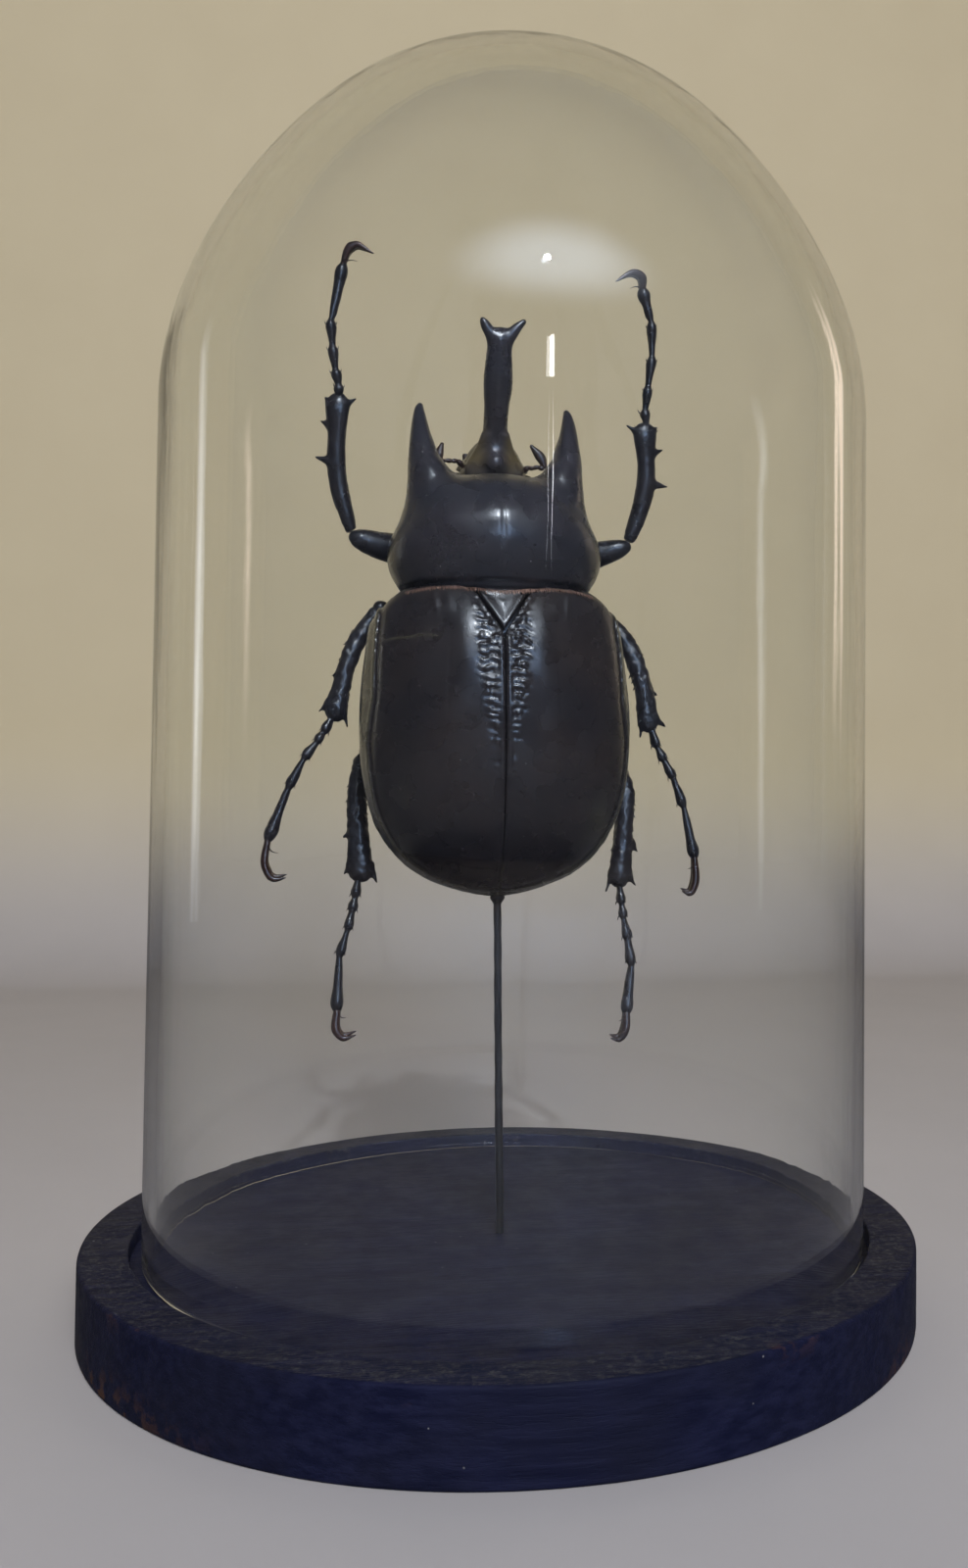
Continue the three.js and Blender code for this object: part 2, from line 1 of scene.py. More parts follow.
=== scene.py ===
# A dried horned beetle under a clear glass bell on a round black wooden base.
# Shapes are written in millimetres and put into the CAD frame's metres by world_mesh().
import math

import bpy
import numpy as np
from mathutils import Matrix, Vector


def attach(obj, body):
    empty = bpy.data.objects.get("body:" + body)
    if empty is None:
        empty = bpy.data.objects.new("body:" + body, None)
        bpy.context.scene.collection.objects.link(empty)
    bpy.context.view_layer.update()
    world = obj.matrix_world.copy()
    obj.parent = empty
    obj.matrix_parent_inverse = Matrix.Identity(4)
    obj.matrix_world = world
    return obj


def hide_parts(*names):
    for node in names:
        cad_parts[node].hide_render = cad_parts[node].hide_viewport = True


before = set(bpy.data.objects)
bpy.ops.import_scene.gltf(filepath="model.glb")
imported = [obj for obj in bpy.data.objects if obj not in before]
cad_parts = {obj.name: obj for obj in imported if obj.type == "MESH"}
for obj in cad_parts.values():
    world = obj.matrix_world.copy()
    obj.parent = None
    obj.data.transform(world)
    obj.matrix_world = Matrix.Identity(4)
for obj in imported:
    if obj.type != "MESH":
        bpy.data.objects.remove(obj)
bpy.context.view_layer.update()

ROUGH_CUT = 1.0
TINY, FAR = 1e-9, 1e9
MM = 0.001  # one millimetre in Blender's metres

# ---- sizes in millimetres ----
BASE = {"radius": 81.5, "height": 15.1, "recess": 72.6, "floor": 12.0, "edge": 0.7}
DOME = {"radius": 71.0, "wall": 2.4, "top": 250.9, "cap": 76.0, "pinch": 0.05, "shift": 0.6}
DOME_FOOT = BASE["floor"] + 0.3
ROD = {"radius": 0.8, "foot": -4.6, "collar": 67.6, "collar_radius": 1.7, "top": 92.0}
STAND = {"x": -1.6, "z": 11.1, "lean": 1.0}  # foot of the rod, and the beetle's lean in degrees
LEFT, RIGHT = -1, 1
SIDES = {"left": LEFT, "right": RIGHT}
STAGE = {"wall": 0.66, "bend": 0.16, "front": -3.0, "side": 3.0, "top": 2.6}  # metres
CAMERA = {  # metres; right and up are directions
    "place": (-0.0307, -0.2696, 0.0954),
    "right": (0.98153, -0.19107, 0.00925),
    "up": (-0.01481, -0.0277, 0.99951),
}

# The beetle's own frame: u to its right, v from its back to its belly, w from tail to head.
# Rows are [w, half width, back depth, belly depth]; depths start at v = MARGIN.
MARGIN = 2.0
TAIL = 69.1  # w of the wing cases' tip
ELYTRA = [
    [69.1, 0.05, 0.05, 0.05],
    [69.4, 3.5, 2.2, 1.0],
    [70.6, 8.5, 5.4, 2.0],
    [73.0, 14.6, 9.4, 3.0],
    [77.2, 20.2, 13.6, 4.0],
    [83.5, 24.6, 17.4, 5.0],
    [92.0, 27.0, 20.0, 6.0],
    [103.0, 27.9, 21.3, 6.0],
    [113.0, 27.4, 21.2, 6.0],
    [122.0, 26.4, 19.8, 6.0],
    [128.5, 24.9, 17.8, 6.0],
    [133.0, 22.6, 15.4, 6.0],
]
PRONOTUM = [
    [127.5, 14.5, 12.0, 8.0],
    [130.6, 18.2, 15.6, 10.5],
    [133.6, 20.6, 17.7, 12.5],
    [137.4, 21.9, 19.2, 14.0],
    [141.5, 21.6, 19.6, 14.4],
    [146.0, 19.2, 18.6, 13.6],
    [150.4, 16.2, 15.6, 11.6],
    [153.8, 12.6, 12.0, 8.6],
    [157.0, 7.0, 6.8, 5.0],
]
THORAX = [
    [103.2, 19.0, 7.0, 12.0],
    [105.4, 21.8, 9.0, 14.0],
    [109.0, 23.0, 11.0, 15.2],
    [117.0, 23.4, 12.4, 15.6],
    [125.0, 21.4, 12.0, 14.0],
    [130.4, 15.5, 9.6, 9.8],
]
ABDOMEN = [
    [70.3, 0.05, 0.05, 0.05],
    [70.6, 2.6, 0.8, 1.8],
    [72.6, 8.8, 2.4, 5.6],
    [76.5, 15.6, 5.4, 9.2],
    [83.0, 20.8, 9.0, 12.0],
    [92.0, 23.4, 11.6, 13.4],
    [100.0, 23.8, 12.4, 13.6],
    [104.6, 21.5, 8.6, 12.2],
]


# ---- camera, floor and light ----
def make_camera():
    """The photo's viewing angle: low, a little from the beetle's left, looking slightly up."""
    data = bpy.data.cameras.new("camera")
    data.sensor_width = 36.0
    data.lens = 30.105
    data.shift_x = -0.0839
    data.clip_start = 0.01
    camera = bpy.data.objects.new("camera", data)
    bpy.context.scene.collection.objects.link(camera)
    right, up = Vector(CAMERA["right"]), Vector(CAMERA["up"])
    back = right.cross(up).normalized()
    columns = (right, up, back, CAMERA["place"])
    camera.matrix_world = Matrix([[column[i] for column in columns] for i in range(3)] + [[0, 0, 0, 1]])
    bpy.context.scene.camera = camera


def area_light(name, place, target, size, power, colour=(1, 1, 1), soft=False, sheen=True):
    """A rectangular light. A soft one fades to its edges; one without sheen shows in no reflection."""
    data = bpy.data.lights.new(name, "AREA")
    data.shape = "RECTANGLE"
    data.size, data.size_y = size
    data.energy = power
    data.color = colour
    if soft:
        fade_edges(data)
    light = bpy.data.objects.new(name, data)
    bpy.context.scene.collection.objects.link(light)
    light.location = place
    light.visible_glossy = light.visible_transmission = sheen
    light.rotation_euler = (Vector(target) - Vector(place)).to_track_quat("-Z", "Y").to_euler()
    return light


def keep_off(light, obj):
    """The light doesn't reach obj, so obj doesn't mirror it."""
    spared = bpy.data.collections.new("spared_by_" + light.name)
    spared.objects.link(obj)
    light.light_linking.receiver_collection = spared
    spared.collection_objects[0].light_linking.link_state = "EXCLUDE"


def fade_edges(data):
    """The light shines strongest in its middle and not at all at its edge."""
    data.use_nodes = True
    tree = data.node_tree
    where = tree.nodes.new("ShaderNodeNewGeometry")
    off = tree.nodes.new("ShaderNodeVectorMath")
    off.operation = "DISTANCE"
    off.inputs[1].default_value = (0.5, 0.5, 0)
    tree.links.new(where.outputs["Parametric"], off.inputs[0])
    fade = ranged(tree, off.outputs["Value"], 0.08, 0.5, 2.4, 0.0)
    tree.links.new(fade, tree.nodes["Emission"].inputs["Strength"])


def make_world():
    """A pale room to look at that lights the object only dimly, as the room round a lit table does."""
    world = bpy.data.worlds.new("studio")
    bpy.context.scene.world = world
    world.use_nodes = True
    tree = world.node_tree
    path = tree.nodes.new("ShaderNodeLightPath")
    after_bounce = plus(tree, path.outputs["Glossy Depth"], path.outputs["Diffuse Depth"])
    colour = blend(tree, after_bounce, (0.33, 0.31, 0.27), (0.055, 0.06, 0.072))
    tree.links.new(colour, tree.nodes["Background"].inputs["Color"])
    bpy.context.scene.view_settings.view_transform = "Standard"


def make_lights():
    """A bluish key and a warm room from the front, and small lights for the glass to mirror."""
    centre = (0, 0, 0.12)
    area_light("key", (0.07, -1.02, 0.98), centre, (1.5, 0.8), 5.5, (0.72, 0.83, 1.0), soft=True)
    area_light("lamp", (0.024, -0.996, 0.946), (0, -0.07, 0.18), (0.035, 0.035), 6.0, (0.82, 0.89, 1.0))
    area_light("strip", (0.045, -1.22, 0.585), (0, 0, 0.14), (0.03, 0.05), 0.1)
    area_light("low_strip", (0.052, -1.22, 0.45), (0, 0, 0.14), (0.007, 0.2), 0.05, soft=True)
    area_light("room", (0.1, -2.6, 1.7), (0, 0.3, 0.2), (2.4, 1.6), 80, (1.0, 0.94, 0.84),
               soft=True, sheen=False)
    area_light("left", (-0.95, 0.45, 0.28), centre, (0.1, 0.8), 0.2, (0.9, 0.94, 1.0), soft=True)
    area_light("right", (1.0, 0.42, 0.5), centre, (0.1, 0.8), 0.3, (1.0, 0.8, 0.68), soft=True)
    low = area_light("low", (0.14, -1.25, 0.44), (0, 0, 0.15), (0.26, 0.2), 8.0, (0.45, 0.64, 1.0),
                     soft=True)
    keep_off(low, bpy.data.objects["glass_bell"])


# ---- distances: a shape takes points (n, 3) and returns (n,), negative inside ----
def length(v):
    """Length of each vector."""
    return np.sqrt(np.einsum("...i,...i", v, v))


def smooth_min(a, b, k):
    """Two bodies joined, with a fillet about k wide between them."""
    h = np.maximum(k - np.abs(a - b), 0) / k
    return np.minimum(a, b) - h * h * k / 4


def smooth_max(a, b, k):
    """What two bodies share, with its edge rounded about k wide."""
    return -smooth_min(-a, -b, k)


def bell(x, middle, width):
    """1 at the middle, fading to 0 on both sides."""
    return np.exp(-(((x - middle) / width) ** 2))


def step_up(x, low, high):
    """0 below low and 1 above high, with a smooth rise between."""
    t = np.clip((x - low) / (high - low), 0, 1)
    return t * t * (3 - 2 * t)


CELLS = 24
LATTICE = np.random.default_rng(7).random((CELLS, CELLS, CELLS)) * 2 - 1


def noise(p, scale, shift=0.0):
    """Smooth random value from -1 to 1, with features about `scale` millimetres wide."""
    q = p / scale + shift
    cell = np.floor(q).astype(int)
    t = q - cell
    t = t * t * (3 - 2 * t)
    x0, y0, z0 = np.moveaxis(cell % CELLS, -1, 0)
    x1, y1, z1 = np.moveaxis((cell + 1) % CELLS, -1, 0)
    tx, ty, tz = np.moveaxis(t, -1, 0)

    def row(y, z):
        start = LATTICE[x0, y, z]
        return start + (LATTICE[x1, y, z] - start) * tx

    near = row(y0, z0)
    near = near + (row(y1, z0) - near) * ty
    far = row(y0, z1)
    far = far + (row(y1, z1) - far) * ty
    return near + (far - near) * tz


def spline(rows, pieces=6):
    """A smooth curve through the rows, each split into `pieces`."""
    rows = np.asarray(rows, float)
    padded = np.vstack([2 * rows[0] - rows[1], rows, 2 * rows[-1] - rows[-2]])
    out = []
    for a, b, c, d in zip(padded, padded[1:], padded[2:], padded[3:]):
        for t in np.arange(pieces) / pieces:
            out.append(
                0.5 * (2 * b + (c - a) * t + (2 * a - 5 * b + 4 * c - d) * t**2
                       + (3 * b - a - 3 * c + d) * t**3)
            )
    return np.array(out + [rows[-1]])


def full_rows(stations):
    """Stations [u, v, w, half width, half depth]; a missing half depth is the half width."""
    return [list(s) + [s[3]] * (5 - len(s)) for s in stations]


def limb(p, stations, pieces=5):
    """A smooth tube through the stations, with oval sections."""
    knots = spline(full_rows(stations), pieces)
    best = np.full(len(p), FAR)
    for a, b in zip(knots[:-1], knots[1:]):
        along = b[:3] - a[:3]
        t = np.clip(((p - a[:3]) @ along) / max(along @ along, TINY), 0, 1)
        off = p - a[:3] - t[:, None] * along
        wide = np.maximum(a[3] + (b[3] - a[3]) * t, 0.08)
        deep = np.maximum(a[4] + (b[4] - a[4]) * t, 0.08)
        off[:, 1] *= wide / deep
        best = np.minimum(best, length(off) - wide)
    return best


def limbs(p, several, k, pieces=5):
    """Several limbs as one body, with fillets about k wide."""
    body = np.full(len(p), FAR)
    for stations in several:
        body = smooth_min(body, limb(p, stations, pieces), k)
    return body


def ball(p, centre, radius):
    """An oval ball; radius is one number or one per axis."""
    radius = np.broadcast_to(np.asarray(radius, float), 3)
    q = (p - np.asarray(centre, float)) / radius
    k = length(q)
    return k * (k - 1) / np.maximum(length(q / radius), TINY)


def from_tip(w, tip):
    """Heights spaced as from a round tip, so that a curve through them closes smoothly there."""
    return w if tip is None else np.sqrt(np.maximum(w - tip, 0))


def trunk_sizes(table, w, tip=None):
    """Half width, back depth and belly depth at height w, from a smooth curve through the table."""
    knots = np.array(table, float)
    knots[:, 0] = from_tip(knots[:, 0], tip)
    curve = spline(knots, 12)
    at = from_tip(w, tip)
    return [np.interp(at, curve[:, 0], curve[:, i]) for i in (1, 2, 3)]


def trunk(p, table, back_power=2.35, belly_power=2.0, side_power=2.0, tip=None):
    """A body with oval cross sections, open-ended; the caller cuts its ends."""
    half, back, belly = trunk_sizes(table, p[:, 2], tip)
    v = p[:, 1] - MARGIN
    deep = np.where(v < 0, back, belly)
    power = np.where(v < 0, back_power, belly_power)
    x = np.maximum(np.abs(p[:, 0]) / half, TINY)
    y = np.maximum(np.abs(v) / deep, TINY)
    k = (x**side_power + y**power) ** 0.5
    return (k - 1) * np.minimum(half, deep)


# ---- turning a distance into a mesh ----
def slopes(shape, p, gap=0.02):
    """The distance at each point, and how it changes along each axis."""
    here = shape(p)
    step = np.eye(3) * gap
    return here, np.stack([(shape(p + step[i]) - here) / gap for i in range(3)], -1)


def spread(blocks, size, counts):
    """Each block's value repeated over its grid points."""
    for axis in range(3):
        blocks = np.repeat(blocks, size, axis)
    return blocks[: counts[0], : counts[1], : counts[2]]


def grid_values(shape, low, counts, voxel, size=5):
    """Values on the grid. Blocks far from the surface keep one rough value, for its sign."""
    blocks = np.stack(np.indices([-(-n // size) for n in counts]), -1)
    middles = low + voxel * (blocks * size + (size - 1) / 2)
    rough = shape(middles.reshape(-1, 3)).reshape(blocks.shape[:3])
    values = spread(rough, size, counts).copy()
    near = np.argwhere(spread(np.abs(rough) < 2.0 * size * voxel, size, counts))
    for some in np.array_split(near, len(near) // 60000 + 1):
        values[tuple(some.T)] = shape(low + voxel * some)
    return values


def cell_points(values, cells):
    """Mean of the crossings on each cell's twelve edges, in cell units."""
    total = np.zeros((len(cells), 3))
    hits = np.zeros(len(cells))
    corners = list(np.ndindex(2, 2, 2))
    for a in corners:
        for axis in range(3):
            if a[axis]:
                continue
            b = tuple(1 if i == axis else c for i, c in enumerate(a))
            va = values[tuple((cells + a).T)]
            vb = values[tuple((cells + b).T)]
            cross = (va < 0) != (vb < 0)
            t = np.where(cross, va / np.where(cross, va - vb, 1), 0)
            point = np.array(a, float) + t[:, None] * (np.array(b) - np.array(a))
            total += point * cross[:, None]
            hits += cross
    return cells + total / hits[:, None]


def grid_quads(values, index):
    """One quad across every grid edge whose ends lie on different sides."""
    quads = []
    inside = values < 0
    for axis in range(3):
        one, two = [i for i in range(3) if i != axis]
        low = [slice(None)] * 3
        high = [slice(None)] * 3
        low[axis], high[axis] = slice(0, -1), slice(1, None)
        start, end = inside[tuple(low)], inside[tuple(high)]
        edges = np.argwhere(start != end)
        edges = edges[(edges[:, one] > 0) & (edges[:, two] > 0)]
        edges = edges[(edges[:, one] < index.shape[one]) & (edges[:, two] < index.shape[two])]
        ring = []
        for d1, d2 in ((0, 0), (1, 0), (1, 1), (0, 1)):
            cell = edges.copy()
            cell[:, one] -= d1
            cell[:, two] -= d2
            ring.append(index[tuple(cell.T)])
        quad = np.stack(ring, -1)
        outward = start[tuple(edges.T)] != (axis == 1)
        quads.append(np.where(outward[:, None], quad, quad[:, ::-1]))
    return np.vstack(quads)


def surface(shape, low, high, voxel):
    """Points and quads of the surface where shape is zero, each point drawn onto it."""
    voxel = voxel * ROUGH_CUT
    low = np.asarray(low, float) - 2 * voxel
    counts = tuple(np.ceil((np.asarray(high, float) + 2 * voxel - low) / voxel).astype(int) + 1)
    values = grid_values(shape, low, counts, voxel)
    inside = values < 0
    count = np.zeros([c - 1 for c in counts], np.int8)
    for a in np.ndindex(2, 2, 2):
        count += inside[tuple(slice(c, n - 1 + c) for c, n in zip(a, counts))]
    cells = np.argwhere((count > 0) & (count < 8))
    index = np.full(count.shape, -1)
    index[tuple(cells.T)] = np.arange(len(cells))
    points = low + voxel * cell_points(values, cells)
    for _ in range(3):
        here, slope = slopes(shape, points)
        steep = np.maximum(np.einsum("ij,ij->i", slope, slope), 0.05)
        move = -(here / steep)[:, None] * slope
        reach = np.maximum(length(move) / (0.5 * voxel), 1)
        points += move / reach[:, None]
    return points, grid_quads(values, index)


def ring_quads(rows, sides):
    """The quads between rings of points that follow each other."""
    first = (np.arange(rows - 1)[:, None] * sides + np.arange(sides)).ravel()
    following = (np.arange(rows - 1)[:, None] * sides + (np.arange(sides) + 1) % sides).ravel()
    return np.stack([first, following, following + sides, first + sides], -1)


def spike(points, radii, sides=7):
    """A closed thin cone or bristle along the points."""
    points = spline(points, 3)
    radii = np.interp(np.linspace(0, 1, len(points)), np.linspace(0, 1, len(radii)), radii)
    angle = np.linspace(0, 2 * np.pi, sides, endpoint=False)
    rings = []
    for i, (centre, radius) in enumerate(zip(points, radii)):
        along = points[min(i + 1, len(points) - 1)] - points[max(i - 1, 0)]
        side = np.cross(along, (0.31, 0.87, 0.12))
        side /= length(side)
        other = np.cross(along, side)
        other /= length(other)
        rings.append(centre + radius * (np.cos(angle)[:, None] * side + np.sin(angle)[:, None] * other))
    root, tip = len(points) * sides, len(points) * sides + 1
    last_ring = root - sides
    faces = ring_quads(len(points), sides).tolist()
    for i in range(sides):
        following = (i + 1) % sides
        faces += [[following, i, root], [last_ring + i, last_ring + following, tip]]
    return np.vstack(rings + [points[:1], points[-1:]]), faces


def joined(parts):
    """Several (points, faces) as one."""
    verts, faces, start = [], [], 0
    for points, quads in parts:
        verts.append(points)
        faces += [[int(i) + start for i in quad] for quad in quads]
        start += len(points)
    return np.vstack(verts), faces


# ---- placing pieces ----
LEAN = math.radians(STAND["lean"])


def stand_up(p):
    """From the beetle's own frame to the CAD frame, in millimetres."""
    c, s = math.cos(LEAN), math.sin(LEAN)
    return np.stack([
        STAND["x"] + p[:, 0] * c - p[:, 2] * s,
        p[:, 1],
        STAND["z"] + p[:, 0] * s + p[:, 2] * c,
    ], -1)


def paint(mesh, name, values):
    """A value for each point, which the material reads by this name."""
    mesh.attributes.new(name, "FLOAT", "POINT").data.foreach_set("value", values.astype(np.float32))


def world_mesh(name, points, faces, material, tint=None):
    """A smooth-shaded mesh object from points in CAD-frame millimetres."""
    mesh = bpy.data.meshes.new(name)
    mesh.from_pydata((points * MM).tolist(), [], [list(map(int, f)) for f in faces])
    mesh.polygons.foreach_set("use_smooth", [True] * len(mesh.polygons))
    if tint is not None:
        paint(mesh, "tint", tint)
    mesh.materials.append(material)
    obj = bpy.data.objects.new(name, mesh)
    bpy.context.scene.collection.objects.link(obj)
    return obj


def finish_piece(obj, node):
    """The object takes the CAD node's place."""
    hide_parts(node)
    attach(obj, "root")


def beetle_piece(node, material, parts, tint=None):
    """One beetle piece from parts in the beetle's frame. tint(points) paints its edges."""
    points, faces = joined(parts)
    shade = tint(points) if tint else np.zeros(len(points))
    finish_piece(world_mesh("beetle_" + node, stand_up(points), faces, material, shade), node)


# ---- materials ----
def new_material(name):
    """A material with a bare shader, its node tree and the shader."""
    material = bpy.data.materials.new(name)
    material.use_nodes = True
    tree = material.node_tree
    tree.nodes.clear()
    out = tree.nodes.new("ShaderNodeOutputMaterial")
    shader = tree.nodes.new("ShaderNodeBsdfPrincipled")
    tree.links.new(shader.outputs["BSDF"], out.inputs["Surface"])
    return material, tree, shader


def coords(tree, stretch=(1, 1, 1)):
    """Places on the object; a stretch below 1 draws a texture out along that axis."""
    place = tree.nodes.new("ShaderNodeTexCoord")
    scale = tree.nodes.new("ShaderNodeMapping")
    scale.inputs["Scale"].default_value = stretch
    tree.links.new(place.outputs["Object"], scale.inputs["Vector"])
    return scale.outputs["Vector"]


def cloud(tree, size, detail=4.0, rough=0.55, stretch=(1, 1, 1)):
    """Noise with features about `size` millimetres wide, from 0 to 1."""
    node = tree.nodes.new("ShaderNodeTexNoise")
    node.inputs["Scale"].default_value = 1 / MM / size
    node.inputs["Detail"].default_value = detail
    node.inputs["Roughness"].default_value = rough
    tree.links.new(coords(tree, stretch), node.inputs["Vector"])
    return node.outputs["Fac"]


def dots(tree, size):
    """Distance to the nearest of many scattered points about `size` millimetres apart."""
    node = tree.nodes.new("ShaderNodeTexVoronoi")
    node.inputs["Scale"].default_value = 1 / MM / size
    tree.links.new(coords(tree), node.inputs["Vector"])
    return node.outputs["Distance"]


def ranged(tree, value, low, high, to_low=0.0, to_high=1.0):
    """The value's stretch from low to high, smoothly mapped to the new ends."""
    node = tree.nodes.new("ShaderNodeMapRange")
    node.interpolation_type = "SMOOTHSTEP"
    for socket, number in (("From Min", low), ("From Max", high), ("To Min", to_low), ("To Max", to_high)):
        node.inputs[socket].default_value = number
    tree.links.new(value, node.inputs["Value"])
    return node.outputs["Result"]


def arithmetic(tree, operation, a, b):
    """a and b combined; b is a socket or a number."""
    node = tree.nodes.new("ShaderNodeMath")
    node.operation = operation
    tree.links.new(a, node.inputs[0])
    if isinstance(b, (int, float)):
        node.inputs[1].default_value = b
    else:
        tree.links.new(b, node.inputs[1])
    return node.outputs[0]


def times(tree, a, b):
    return arithmetic(tree, "MULTIPLY", a, b)


def plus(tree, a, b):
    return arithmetic(tree, "ADD", a, b)


def blend(tree, factor, a, b):
    """Colour a where factor is 0 and b where it is 1; each a colour or a socket."""
    node = tree.nodes.new("ShaderNodeMix")
    node.data_type = "RGBA"
    tree.links.new(factor, node.inputs["Factor"])
    for socket, colour in ((node.inputs[6], a), (node.inputs[7], b)):
        if isinstance(colour, tuple):
            socket.default_value = (*colour, 1)
        else:
            tree.links.new(colour, socket)
    return node.outputs[2]


def bump(tree, height, depth, below=None):
    """Height from 0 to 1 as a bump `depth` millimetres deep."""
    node = tree.nodes.new("ShaderNodeBump")
    node.inputs["Strength"].default_value = 1.0
    node.inputs["Distance"].default_value = depth * MM
    tree.links.new(height, node.inputs["Height"])
    if below is not None:
        tree.links.new(below, node.inputs["Normal"])
    return node.outputs["Normal"]


def painted(tree, name):
    """The value from 0 to 1 that the mesh carries under this name at each point."""
    node = tree.nodes.new("ShaderNodeAttribute")
    node.attribute_name = name
    return node.outputs["Fac"]


def dust_specks(tree, apart, bare):
    """Round pale specks about `apart` millimetres apart; a higher bare leaves more of them out."""
    speck = ranged(tree, dots(tree, apart), 0.045, 0.03)
    return times(tree, speck, ranged(tree, cloud(tree, 1.6 * apart, 1.0), bare, bare + 0.03))


# Beetle shells: dark, brown clouds, edge tint, roughness range, pit and grain depth in mm, coat.
SHELLS = {
    # The front ring's and the head's colours are set lighter than the wing cases' as a painted sheen.
    "shell_black": ((0.0135, 0.0138, 0.0185), (0.0185, 0.016, 0.0195), (0.035, 0.028, 0.016), (0.2, 0.36)),
    # The wing cases' olive edge colour is a painted reflection of the warm wall.
    "shell_wing": ((0.0085, 0.007, 0.0085), (0.015, 0.0105, 0.010), (0.06, 0.054, 0.032), (0.22, 0.36)),
    "shell_head": ((0.0165, 0.0165, 0.022), (0.024, 0.0205, 0.0235), (0.06, 0.044, 0.02), (0.22, 0.4)),
    "shell_leg": (
        (0.007, 0.007, 0.0095), (0.012, 0.0095, 0.011), (0.03, 0.02, 0.015), (0.22, 0.4), 0.03, 0.012),
    "shell_claw": ((0.013, 0.007, 0.006), (0.03, 0.012, 0.009), (0.04, 0.02, 0.015), (0.22, 0.38)),
    "shell_antenna": ((0.016, 0.009, 0.007), (0.035, 0.015, 0.01), (0.04, 0.02, 0.015), (0.28, 0.45)),
    "eye": ((0.007, 0.005, 0.004), (0.015, 0.01, 0.007), (0.03, 0.02, 0.015), (0.15, 0.3), 0.01, 0.01),
    "shell_under": (
        (0.01, 0.0075, 0.0075), (0.022, 0.013, 0.01), (0.03, 0.02, 0.015), (0.28, 0.48), 0.04, 0.02),
    "hair": ((0.12, 0.065, 0.045), (0.26, 0.15, 0.11), (0.1, 0.06, 0.04), (0.5, 0.7), 0.0, 0.0, 0.0),
}


def horn_shell(name, dark, brown, edge, rough, pit=0.004, grain=0.004, coat=0.2):
    """Beetle shell: near-black, cloudy with brown, fine pits, dust specks, tinted edges, thin on the head
    and a painted reflection on the wing cases.
    """
    material, tree, shader = new_material(name)
    clouds = ranged(tree, cloud(tree, 11.0, 2.0, 0.4), 0.3, 0.8)
    colour = blend(tree, clouds, dark, brown)
    fine = ranged(tree, cloud(tree, 0.8, 3.0), 0.3, 0.8, 0.0, 0.5)
    colour = blend(tree, fine, colour, tuple(0.6 * c for c in dark))
    # The edge tint; on the wing cases it is a painted reflection of the warm wall.
    colour = blend(tree, painted(tree, "tint"), colour, edge)
    specks = dust_specks(tree, 2.6, 0.6)
    colour = blend(tree, specks, colour, (0.3, 0.29, 0.28))
    tree.links.new(colour, shader.inputs["Base Color"])
    smear = ranged(tree, cloud(tree, 6.0, 3.0, 0.5), 0.25, 0.8, *rough)
    tree.links.new(plus(tree, smear, times(tree, specks, 0.3)), shader.inputs["Roughness"])
    pits = bump(tree, ranged(tree, dots(tree, 0.75), 0.05, 0.32), pit)
    tree.links.new(bump(tree, cloud(tree, 0.35, 3.0), grain, pits), shader.inputs["Normal"])
    shader.inputs["IOR"].default_value = 1.5
    shader.inputs["Coat Weight"].default_value = coat
    shader.inputs["Coat Roughness"].default_value = 0.1
    return material


def black_wood():
    """Black satin stain over turned wood, worn to brown in a few places at the foot."""
    stain, streak, faded = (0.0042, 0.005, 0.0165), (0.0095, 0.0105, 0.0285), (0.009, 0.0092, 0.0165)
    dust_and_sheen_grey, bare_wood, speck_grey = (0.10, 0.095, 0.085), (0.07, 0.032, 0.018), (0.16, 0.155, 0.16)
    material, tree, shader = new_material("black_wood")
    grain = cloud(tree, 1.6, 6.0, 0.6, (0.06, 1, 1))
    colour = blend(tree, ranged(tree, grain, 0.35, 0.7), stain, streak)
    colour = blend(tree, ranged(tree, cloud(tree, 22.0, 4.0), 0.35, 0.7, 0.0, 0.5), colour, faded)
    # Dust with a painted sheen: it lightens the top ring outside the bell and barely the floor inside it.
    dust_and_sheen = times(tree, ranged(tree, cloud(tree, 1.2, 6.0, 0.75), 0.46, 0.8), painted(tree, "dust_and_sheen"))
    colour = blend(tree, dust_and_sheen, colour, dust_and_sheen_grey)
    worn = times(tree, painted(tree, "tint"), ranged(tree, cloud(tree, 3.2, 5.0, 0.65), 0.5, 0.56))
    colour = blend(tree, worn, colour, bare_wood)
    colour = blend(tree, dust_specks(tree, 5.0, 0.5), colour, speck_grey)
    tree.links.new(colour, shader.inputs["Base Color"])
    rough = ranged(tree, cloud(tree, 9.0, 6.0, 0.7), 0.3, 0.7, 0.46, 0.62)
    tree.links.new(plus(tree, rough, times(tree, dust_and_sheen, 0.25)), shader.inputs["Roughness"])
    lines = bump(tree, grain, 0.11)
    pores = bump(tree, ranged(tree, cloud(tree, 0.5, 2.0, 0.5, (0.12, 1, 1)), 0.35, 0.5), 0.035, lines)
    tree.links.new(bump(tree, cloud(tree, 0.3, 2.0), 0.012, pores), shader.inputs["Normal"])
    shader.inputs["IOR"].default_value = 1.42
    shader.inputs["Specular IOR Level"].default_value = 0.09
    return material


def clear_glass():
    """Clear blown glass with faint waves drawn along it."""
    material, tree, shader = new_material("clear_glass")
    streaks = cloud(tree, 9.0, 3.0, 0.5, (1, 1, 0.12))
    tree.links.new(bump(tree, streaks, 0.03), shader.inputs["Normal"])
    clear, greenish = (0.985, 0.992, 0.985), (0.972, 0.985, 0.976)
    colour = blend(tree, ranged(tree, cloud(tree, 30.0), 0.3, 0.7), clear, greenish)
    tree.links.new(colour, shader.inputs["Base Color"])
    shader.inputs["Roughness"].default_value = 0.0
    shader.inputs["IOR"].default_value = 1.47
    shader.inputs["Transmission Weight"].default_value = 1.0
    return material


